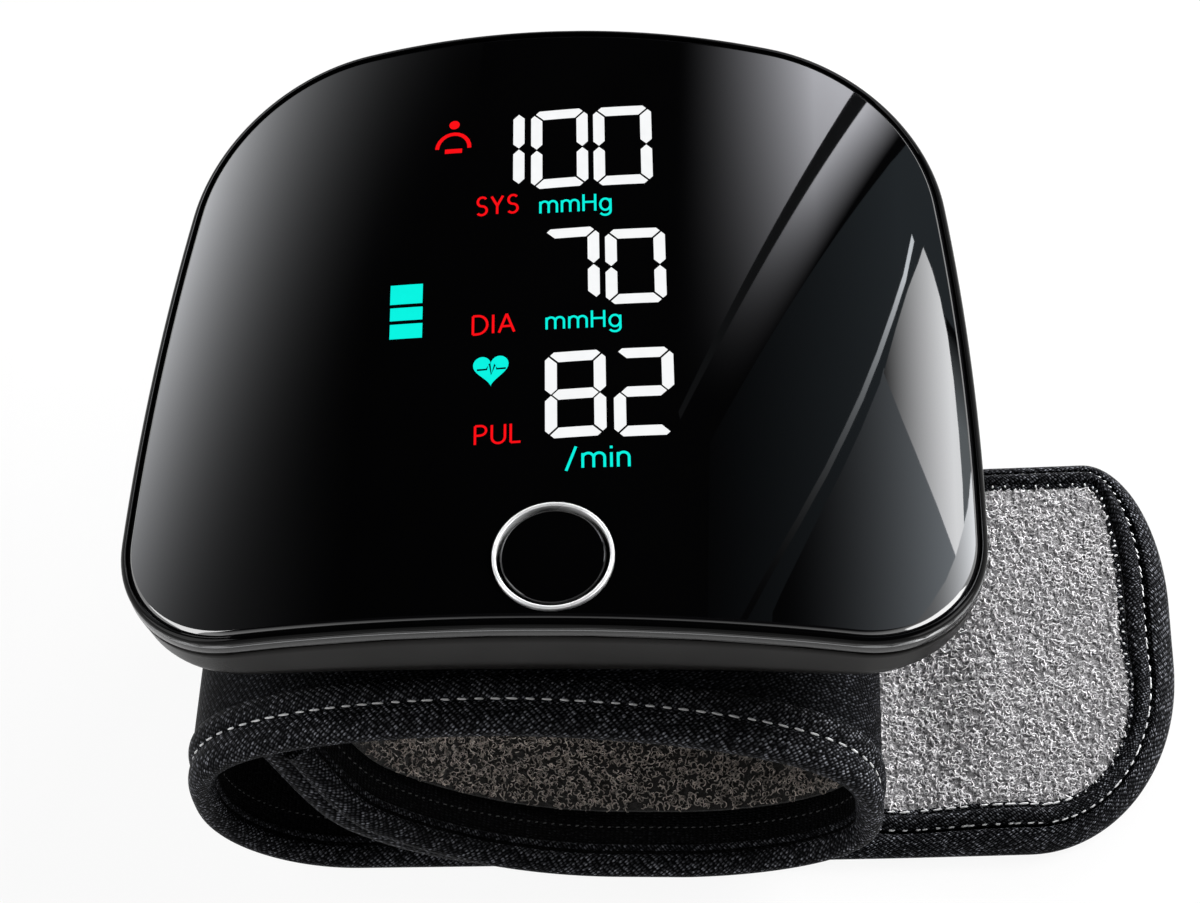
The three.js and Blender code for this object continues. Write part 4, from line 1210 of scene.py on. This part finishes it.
def cuff():
    section = sheet_section(COVER_FROM, *COVER_FACES)
    cover = swept("cuff_cover_cloth", section, 0, SPLIT_S, cover_cloth)
    dress(cover, "cuff_cover")
    section = sheet_section(LINING_FROM, *LINING_FACES)
    lining = swept("cuff_lining_cloth", section, 0, SPLIT_S, lining_cloth)
    dress(lining, "cuff_lining")
    outer_ridge = ridge_section(1, OUTER_RIDGE, OUT_FACE + OUTER_RIDGE_RISE)
    inner_ridge = ridge_section(-1, INNER_RIDGE, IN_FACE)
    for side, back in (("front", False), ("back", True)):
        section = binding_section(INNER_BINDING)
        binding = swept(f"cuff_binding_{side}_tape", section, 0, SPLIT_S, binding_tape, back)
        dress(binding, f"cuff_binding_{side}")
        for place, ridge in (("outer", outer_ridge), ("inner", inner_ridge)):
            piping = swept(f"cuff_piping_{side}_{place}", ridge, 0, SPLIT_S, piping_cloth, back)
            dress(piping)
    # Pile ground inside the loop, darkened as painted shade
    section = sheet_section(INNER_PILE_FROM, *GROUND_FACES)
    dress(swept("cuff_pile_ground", section, GROUND_START, CROWN_S, felt_in_painted_shade))
    section = sheet_section(HOOK_FROM, *HOOK_FACES)
    hook = swept("hook_patch_tape", section, RIGHT_S - HOOK_REACH, RIGHT_S + HOOK_REACH, hook_tape)
    dress(hook, "hook_patch")


cuff()
inner_fold()


# Free end of the cuff

def shear(x):
    return front_at(END_S - (TAIL_END - x)) - TAIL_FRONT


PAD_RISE = 2.8
PAD_REACH = 5.5
PAD_START = 1
PAD_RUN = 12
UPPER_DEPTH = 2.4
FRONT_SHARE = 0.5
FRONT_RUN = 22
BACK_LIFT = 1.6
LIFT_FROM = 18
LIFT_RUN = 26


# The free end is padded: its upper side swells inside the bound edge, most of all at the back
def swell(x, y, out, inset):
    rise = PAD_RISE * math.sin(math.pi / 2 * min(1, inset / PAD_REACH))
    rise *= FRONT_SHARE + (1 - FRONT_SHARE) * eased((y - TAIL_FRONT) / FRONT_RUN)
    rise += BACK_LIFT * eased((y - TAIL_FRONT - LIFT_FROM) / LIFT_RUN)
    upper = min(max((OUT_FACE - out) / UPPER_DEPTH, 0), 1)
    return rise * upper * eased((x - TAIL_START - PAD_START) / PAD_RUN)


def tail_point(x, y, out, inset):
    return x, y + shear(x), STRAP_HALF - out + swell(x, y, out, inset)


# Width of the border as a share of the cuff's, by the direction into the strap
FRONT_BORDER = 0.76
END_BORDER = 0.97
BACK_BORDER = 0.74
CORNER_PULL = 0.18
BACK_POWER = 5
BORDER_LEAD = 7
BORDER_RUN = 10


# Edge of the free end in plan, with the direction into the strap, scaled by the border's width
def tail_edge(step=0.7):
    front, back = TAIL_FRONT, TAIL_FRONT + STRAP_WIDTH
    near_x, near_y = TAIL_FRONT_CORNER
    far_x, far_y = TAIL_BACK_CORNER
    path = [(x, front, 0, 1) for x in steps_between(SPLIT_X, TAIL_END - near_x, step)]

    def corner(x, y, across, along, start, end):
        count = round((across + along) * math.pi / 4 / step)
        for i in range(1, count + 1):
            angle = math.radians(start + (end - start) * i / count)
            c, s = math.cos(angle), math.sin(angle)
            path.append((x + across * c, y + along * s, -c, -s))

    corner(TAIL_END - near_x, front + near_y, near_x, near_y, -90, 0)
    path.extend((TAIL_END, y, -1, 0) for y in steps_between(front + near_y, back - far_y, step)[1:])
    corner(TAIL_END - far_x, back - far_y, far_x, far_y, 0, 90)
    path.extend((x, back, 0, -1) for x in steps_between(SPLIT_X, TAIL_END - far_x, step)[-2::-1])
    scaled = []
    for x, y, ix, iy in path:
        aim = FRONT_BORDER if iy > 0 else BACK_BORDER
        width = END_BORDER + (aim - END_BORDER) * abs(iy) ** (1 if iy > 0 else BACK_POWER)
        if iy > 0:
            width -= CORNER_PULL * 2 * abs(ix) * iy
        width = 1 + (width - 1) * eased((x - TAIL_START + BORDER_LEAD) / BORDER_RUN)
        scaled.append((x, y, ix * width, iy * width))
    return scaled


EDGE = tail_edge()
EDGE_LENGTHS = [0]
for before_edge, after_edge in zip(EDGE, EDGE[1:]):
    EDGE_LENGTHS.append(EDGE_LENGTHS[-1] + math.dist(before_edge[:2], after_edge[:2]))
EDGE_TREE = KDTree(len(EDGE))
for edge_index, edge_spot in enumerate(EDGE):
    EDGE_TREE.insert((edge_spot[0], edge_spot[1], 0), edge_index)
EDGE_TREE.balance()


def inset_at(x, y):
    return EDGE_TREE.find((x, y, 0))[2]


def crossing(piece):
    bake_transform(piece)


def round_tail(name, section, material):
    rings = [[tail_point(x + ix * d, y + iy * d, n, d) for d, n in section] for x, y, ix, iy in EDGE]
    return cloth_tube(name, rings, EDGE_LENGTHS, material, None)


def tail_plate(name, inset, outer, inner, material, spacing=1.6):
    loop = [(x + ix * inset, y + iy * inset) for x, y, ix, iy in EDGE]
    flat, triangles = plate(loop, lambda x, y: 1.0, lambda x, y: 0.0, spacing)
    points = [tail_point(x, y, outer if z > 0.5 else inner, inset_at(x, y)) for x, y, z in flat]
    corners = [[(points[i][0], points[i][1]) for i in face] for face in triangles]
    return put(name, points, triangles, material, None, corners)


def tail():
    binding = round_tail("tail_binding_tape", binding_section(BINDING, TAIL_HOLLOW), binding_tape)
    dress(binding, "tail_binding")
    section = ridge_section(-1, RIDGE, IN_FACE + TAIL_RIDGE_RISE, FLANGE)
    piping = round_tail("tail_piping_cloth", section, piping_cloth)
    dress(piping, "tail_piping")
    under = round_tail("tail_piping_under", ridge_section(1, RIDGE, OUT_FACE), piping_cloth)
    dress(under)
    cover = tail_plate("tail_cover_cloth", COVER_FROM, *TAIL_COVER_FACES, cover_cloth)
    dress(cover, "tail_cover")
    ground = tail_plate("tail_pile_ground", TAIL_GROUND_FROM, *TAIL_GROUND_FACES, pile_felt)
    dress(ground, "tail_pile")
    for piece in (binding, piping, under, cover, ground):
        crossing(piece)


tail()


# Stitches: short rounded bars of thread lying along a line

BAR_GIRTHS = ((0, 0.35), (0.12, 0.85), (0.3, 1), (0.7, 1), (0.88, 0.85), (1, 0.35))


# Points round a centre, in the plane of two directions
def hoop(centre, first, second, radius, sides):
    return [tuple(centre + first * u + second * v) for u, v in circle(0, 0, radius, sides)]


def bar(a, b, radius):
    a, b = Vector(a), Vector(b)
    way = (b - a).normalized()
    side = way.orthogonal().normalized()
    other = way.cross(side)
    rings = []
    for share, girth in BAR_GIRTHS:
        rings.append(hoop(a.lerp(b, share), side, other, radius * girth, 6))
    return rings_mesh(rings, capped=True)


STITCH_PITCH = 1.65
STITCH_LENGTH = 1.05
STITCH_RADIUS = 0.12
STITCH_AT = 3.4
STITCH_OUT = 1.08
STITCH_TILT = 0.1
STITCH_START = 1.0
DOT_PITCH = 0.9
DOT_LENGTH = 0.4
DOT_RADIUS = 0.07
DOT_AT = 5.1
DOT_OUT = -1.18
TAIL_STITCH_PITCH = 1.3
TAIL_STITCH_LENGTH = (0.5, 0.75)
TAIL_STITCH_OUT = (-1.08, 1.05)
PILE_STITCH_PITCH = 1.5
PILE_STITCH_LENGTH = (0.7, 1.15)
PILE_STITCH_OUT = -1.3
CROSS_STITCH_FROM = (0.05, 0.3)
CROSS_STITCH_LENGTH = (0.2, 0.5)
CROSS_STITCH_OUT = -1.36
FACING_FRONT = 0.6


def strap_row(across, out, pitch, length, radius):
    parts = []
    s = STITCH_START
    while s < SPLIT_S - pitch:
        tilt = STITCH_TILT * draws.uniform(0.1, 0.6)
        run = length * draws.uniform(0.8, 1.1)
        ends = [strap_point(s, across - tilt, out), strap_point(s + run, across + tilt, out)]
        parts.append(bar(*ends, radius))
        s += pitch
    return parts


# A row of stitches along both edges of the cuff
def cuff_stitches(name, inset, row, look):
    parts = []
    for across in (inset, STRAP_WIDTH - inset):
        parts += strap_row(across, *row)
    dress(put(name, *gather(*parts), look, "unit"))


# Spots along the free end's edge, a pitch apart
def edge_row(pitch):
    target = pitch
    for i in range(1, len(EDGE) - 2):
        if EDGE_LENGTHS[i] >= target:
            target += pitch * draws.uniform(0.85, 1.15)
            yield EDGE[i]


def along_edge(spot, inset, out, length):
    x, y, ix, iy = spot
    size = math.hypot(ix, iy)
    tx, ty = iy / size, -ix / size
    ends = []
    for k in (-0.5, 0.5):
        d = inset + STITCH_TILT * k
        ends.append(tail_point(x + ix * d + tx * length * k, y + iy * d + ty * length * k, out, d))
    return bar(*ends, STITCH_RADIUS)


def across_edge(spot, near, far, out):
    x, y, ix, iy = spot
    ends = [tail_point(x + ix * d, y + iy * d, out, d) for d in (near, far)]
    return bar(*ends, STITCH_RADIUS)


def tail_stitches():
    parts = []
    for out in TAIL_STITCH_OUT:
        for spot in edge_row(TAIL_STITCH_PITCH):
            parts.append(along_edge(spot, STITCH_AT, out, draws.uniform(*TAIL_STITCH_LENGTH)))
    for spot in edge_row(PILE_STITCH_PITCH):
        if spot[3] > FACING_FRONT:
            length = draws.uniform(*PILE_STITCH_LENGTH)
            parts.append(along_edge(spot, RIDGE[1] + FLANGE / 2, PILE_STITCH_OUT, length))
        else:
            near = RIDGE[1] + draws.uniform(*CROSS_STITCH_FROM)
            far = near + draws.uniform(*CROSS_STITCH_LENGTH)
            parts.append(across_edge(spot, near, far, CROSS_STITCH_OUT))
    piece = put("tail_stitching", *gather(*parts), thread, None)
    crossing(dress(piece))


row = (STITCH_OUT, STITCH_PITCH, STITCH_LENGTH, STITCH_RADIUS)
cuff_stitches("cuff_stitching", STITCH_AT, row, thread)
# Inner stitches, in thread darkened as painted shade
row = (DOT_OUT, DOT_PITCH, DOT_LENGTH, DOT_RADIUS)
cuff_stitches("cuff_inner_stitching", DOT_AT, row, thread_in_painted_shade)
tail_stitches()


# Loop pile: small open curls of yarn standing on the cloth

CURL_RADIUS = (0.17, 0.32)
CURL_LEAN = (0.2, 1.25)
CURL_TURN = (230, 330)
CURL_SPREAD = 0.3
CURL_LIFT = 0.55
YARN = (0.055, 0.08)
PILE_DENSITY = 7.0
PILE_START = 27.0
PILE_FOOT = -1.05
INNER_CURL_RADIUS = (0.18, 0.34)
INNER_YARN = (0.05, 0.08)
INNER_PILE_DENSITY = 4.8
INNER_PILE_START = 3.0
INNER_PILE_REACH = 24
INNER_PILE_FOOT = -1.45


def curl(spot, up, radii, yarns):
    up = Vector(up).normalized()
    turn = draws.uniform(0, 2 * math.pi)
    level = up.orthogonal().normalized()
    level = Matrix.Rotation(turn, 3, up) @ level
    lean = draws.uniform(*CURL_LEAN)
    rise = (up * math.cos(lean) + up.cross(level) * math.sin(lean)).normalized()
    radius = draws.uniform(*radii)
    yarn = draws.uniform(*yarns)
    span = math.radians(draws.uniform(*CURL_TURN))
    start = math.pi / 2 - span / 2
    middle = Vector(spot) + up * radius * CURL_LIFT
    flank = level.cross(rise)
    along = flank * draws.uniform(-CURL_SPREAD, CURL_SPREAD)
    rings = []
    for share in shares(5):
        angle = start + span * share
        out = level * math.cos(angle) + rise * math.sin(angle)
        centre = middle + out * radius + along * (share - 0.5)
        rings.append(hoop(centre, out, flank, yarn, 3))
    return rings_mesh(rings, capped=True)


def tail_curls():
    loop = [(x + ix * PILE_FROM, y + iy * PILE_FROM) for x, y, ix, iy in EDGE]
    low_x, high_x = PILE_START, max(p[0] for p in loop)
    low_y, high_y = min(p[1] for p in loop), max(p[1] for p in loop)
    parts = []
    count = round((high_x - low_x) * (high_y - low_y) * PILE_DENSITY)
    for _ in range(count):
        x, y = draws.uniform(low_x, high_x), draws.uniform(low_y, high_y)
        if inside((x, y), [loop]):
            spot = tail_point(x, y, PILE_FOOT, inset_at(x, y))
            parts.append(curl(spot, (0, 0, 1), CURL_RADIUS, YARN))
    piece = put("tail_pile_loops", *gather(*parts), pile_loop, None, crease=80)
    crossing(dress(piece))


def cuff_curls():
    parts = []
    start, end = INNER_PILE_START, RIGHT_S + INNER_PILE_REACH
    count = round((end - start) * (STRAP_WIDTH - 2 * INNER_PILE_FROM) * INNER_PILE_DENSITY)
    for _ in range(count):
        s = draws.uniform(start, end)
        across = draws.uniform(INNER_PILE_FROM, STRAP_WIDTH - INNER_PILE_FROM)
        x, z, nx, nz = station(s)
        spot = strap_point(s, across, INNER_PILE_FOOT)
        parts.append(curl(spot, (-nx, 0, -nz), INNER_CURL_RADIUS, INNER_YARN))
    # Curls inside the loop, darkened as painted shade
    piece = put("cuff_pile_loops", *gather(*parts), loops_in_painted_shade, "unit", crease=80)
    dress(piece)


tail_curls()
cuff_curls()


# Camera, where the photograph was taken from

CAMERA_AT = (22.61, -146.37, 262.68)
CAMERA_FORWARD = (-0.0706, 0.5291, -0.8456)
CAMERA_UP = (0.0061, 0.8479, 0.5301)
SENSOR_WIDTH = 36
FOCAL_LENGTH = 78


def camera():
    data = bpy.data.cameras.new("camera")
    data.sensor_fit = "HORIZONTAL"
    data.sensor_width = SENSOR_WIDTH
    data.lens = FOCAL_LENGTH
    data.clip_start = 0.01
    forward = Vector(CAMERA_FORWARD).normalized()
    right = forward.cross(Vector(CAMERA_UP)).normalized()
    up = right.cross(forward)
    holder = bpy.data.objects.new("camera", data)
    turn = Matrix((right, up, -forward)).transposed().to_4x4()
    holder.matrix_world = Matrix.Translation(Vector(CAMERA_AT) * MM) @ turn
    bpy.context.scene.collection.objects.link(holder)
    bpy.context.scene.camera = holder


camera()


# Studio: pale floor, white surround that is dark overhead in gloss, soft lamps

FLOOR_SIDE = 1500
FLOOR_GLOW = 0.92
BRIGHT_BELOW = 0.36
DARK_ABOVE = 0.62
OVERHEAD = 0.0005
FILL = 0.014


def seen_directly(material):
    path = add_node(material, "ShaderNodeLightPath")
    seen = maths(material, "MAXIMUM", path.outputs["Is Camera Ray"], path.outputs["Is Glossy Ray"])
    return maths(material, "MAXIMUM", seen, path.outputs["Is Transmission Ray"])


def floor():
    material, shader = new_look("floor", (0.86, 0.86, 0.86), 0.9)
    glow = add_node(material, "ShaderNodeEmission", {"Color": (1, 1, 1, 1), "Strength": 1.0})
    share = maths(material, "MULTIPLY", seen_directly(material), FLOOR_GLOW)
    mix = add_node(material, "ShaderNodeMixShader", {0: share, 1: shader.outputs[0], 2: glow.outputs[0]})
    out = material.node_tree.nodes["Material Output"]
    material.node_tree.links.new(mix.outputs[0], out.inputs["Surface"])
    side = FLOOR_SIDE
    points = [(-side, -side, 0), (side, -side, 0), (side, side, 0), (-side, side, 0)]
    plane = put("floor", points, [[0, 1, 2, 3]], material, None)
    plane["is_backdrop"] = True


# White for the camera; for gloss white to the horizon and dark overhead; a low even fill for the rest
def surround():
    world = bpy.data.worlds.new("surround")
    world.use_nodes = True
    bpy.context.scene.world = world
    background = world.node_tree.nodes["Background"]
    background.inputs["Color"].default_value = (1, 1, 1, 1)
    place = add_node(world, "ShaderNodeTexCoord").outputs["Generated"]
    height = add_node(world, "ShaderNodeSeparateXYZ", {"Vector": place}).outputs["Z"]
    ceiling = between(world, height, BRIGHT_BELOW, DARK_ABOVE, 1.0, OVERHEAD)
    path = add_node(world, "ShaderNodeLightPath")
    reflected = maths(world, "MAXIMUM", path.outputs["Is Glossy Ray"], path.outputs["Is Transmission Ray"])
    glossy = maths(world, "ADD", maths(world, "MULTIPLY", ceiling, reflected),
                   maths(world, "MULTIPLY", maths(world, "SUBTRACT", 1.0, reflected), FILL))
    strength = maths(world, "MAXIMUM", glossy, path.outputs["Is Camera Ray"])
    wire(world, background.inputs["Strength"], strength)


def lamp(name, at, size, power, target=(0, 0, 20)):
    data = bpy.data.lights.new(name, "AREA")
    data.shape = "RECTANGLE"
    data.size, data.size_y = size[0] * MM, size[1] * MM
    data.energy = power
    holder = bpy.data.objects.new(name, data)
    way = Vector(target) - Vector(at)
    turn = way.to_track_quat("-Z", "Y").to_matrix().to_4x4()
    holder.matrix_world = Matrix.Translation(Vector(at) * MM) @ turn
    holder.visible_glossy = False
    bpy.context.scene.collection.objects.link(holder)


# Reflection cards hang over the object and show only in its gloss

CARD_Z = 700


# Brightness that grows along ramps, each a direction in X and Y, a start, an end and a power
def graded(material, place, strength, ramps):
    level = strength
    for dx, dy, start, end, power in ramps:
        along = add_node(material, "ShaderNodeVectorMath", operation="DOT_PRODUCT")
        wire(material, along.inputs[0], place)
        along.inputs[1].default_value = (dx, dy, 0)
        share = between(material, along.outputs["Value"], start, end, 0, 1)
        level = maths(material, "MULTIPLY", maths(material, "POWER", share, power), level)
    return level


# The glow of a card; veil is a second glow that is added to it
def card_look(name, strength, *ramps, tint=(0.9, 0.95, 1), veil=None):
    material = bpy.data.materials.new(name)
    material.use_nodes = True
    tree = material.node_tree
    tree.nodes.remove(tree.nodes["Principled BSDF"])
    place = object_mm(material)
    level = graded(material, place, strength, ramps)
    if veil:
        level = maths(material, "ADD", level, graded(material, place, veil[0], veil[1:]))
    glow = add_node(material, "ShaderNodeEmission", {"Color": (*tint, 1), "Strength": level})
    tree.links.new(glow.outputs[0], tree.nodes["Material Output"].inputs["Surface"])
    return material


def card(name, loop, look, height=CARD_Z):
    panel(name, [(x, y, height) for x, y in loop], look)


def panel(name, points, look):
    piece = put(name, points, [list(range(len(points)))], look, None)
    piece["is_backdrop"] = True
    for kind in ("camera", "diffuse", "transmission", "volume_scatter", "shadow"):
        setattr(piece, f"visible_{kind}", False)


# Upright panels, as X, Y and Z spans and a strength, for the bright lines on the rounded edges
PANELS = {
    "left_corner": ((-600, -600), (-420, 20), (130, 800), 4),
    "right_corner": ((600, 600), (-420, 60), (40, 300), 5),
    "back": ((0, 520), (650, 650), (200, 330), 3),
}


def panels():
    for name, (xs, ys, zs, strength) in PANELS.items():
        look = card_look(f"{name} panel", strength, tint=(1, 1, 1))
        low, high = zs
        points = [(xs[0], ys[0], low), (xs[1], ys[1], low), (xs[1], ys[1], high), (xs[0], ys[0], high)]
        panel(f"panel_{name}", points, look)


def cards():
    left = card_look("left card", 14.0, (-0.52, 0.86, 560, 1150, 3.39), tint=(0.95, 0.965, 1),
                     veil=(0.5, (-1, 0, 350, 800, 1.5)))
    card("card_left", [(-1100, 250), (-200, 250), (-200, 1000), (-1100, 1000)], left)
    dusk = card_look("right dusk", 0.42, (1, 0, 120, 470, 1.4), tint=(0.72, 0.88, 1))
    card("card_dusk", [(150, 300), (420, 380), (640, 520), (640, 760), (150, 480)], dusk, CARD_Z + 6)
    window = card_look("window card", 9.5, (1, 0, 90, 310, 2.0), (0, 1, 420, 640, 1.15),
                       (-0.63, 0.776, 212, 247, 1.3), tint=(0.93, 0.935, 1))
    card("card_window", [(60, 400), (145, 400), (515, 680), (515, 800), (60, 800)], window)
    strip = card_look("bar card", 0.1)
    card("card_bar", [(104, 408), (107, 405), (433, 669), (424, 680)], strip, CARD_Z - 6)
    curve = [
        (494, 605), (473, 573), (448, 544), (415, 508), (384, 477),
        (355, 451), (321, 422), (277, 388), (202, 333), (100, 258),
    ]
    ribbon_loop = [(x + 2.5, y - 1) for x, y in curve] + [(x - 2, y + 1.5) for x, y in reversed(curve)]
    streak = card_look("streak card", 12, (0, 1, 300, 575, 3.4))
    card("card_streak", ribbon_loop, streak)
    peak = card_look("triangle card", 15, (1, 0, 415, 560, 1.2), tint=(0.97, 0.98, 1))
    card("card_triangle", [
        (513, 605), (531, 599), (546, 589), (560, 572), (569, 550), (575, 523), (578, 495), (577, 472),
        (555, 448), (521, 462), (488, 474), (456, 486), (423, 500), (450, 534), (477, 566), (501, 591),
    ], peak, CARD_Z - 4)
    low = card_look("low card", 4.8, (1, 0, 230, 600, 2.3), tint=(0.84, 0.92, 1))
    card("card_low", [
        (426, 506), (418, 495), (382, 460), (347, 429), (301, 391), (264, 361), (238, 340), (230, 280),
        (500, 330), (660, 430), (660, 520), (580, 490),
    ], low)
    side = card_look("side card", 2.3, (0, -1, -580, -530, 1.0), tint=(0.85, 0.94, 1))
    loop = [(577, 473), (588, 487), (604, 515), (640, 500), (640, 585), (560, 585)]
    card("card_side", loop, side, CARD_Z - 1)
    pale = card_look("pale card", 16, (1, 0, 490, 620, 2.0), tint=(0.94, 0.965, 1),
                     veil=(4.8, (1, 0, 230, 600, 2.3)))
    card("card_pale", [
        (604, 518), (590, 488), (575, 470), (555, 448), (532, 428), (501, 407), (473, 390), (430, 340),
        (640, 360), (680, 504),
    ], pale, CARD_Z - 2)


floor()
surround()
cards()
panels()
lamp("key", (430, 170, 350), (300, 300), 4.1)
lamp("left side", (-430, -40, 320), (300, 300), 1.6)
lamp("front fill", (100, -450, 270), (400, 200), 0.34)
lamp("rear right", (150, 210, 120), (140, 100), 0.75, (52, 0, 4))

bpy.context.scene.view_settings.view_transform = "Standard"

boxes = {"cad": cad_box, "visual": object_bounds()}
{key: [list(corner) for corner in box] for key, box in boxes.items()}
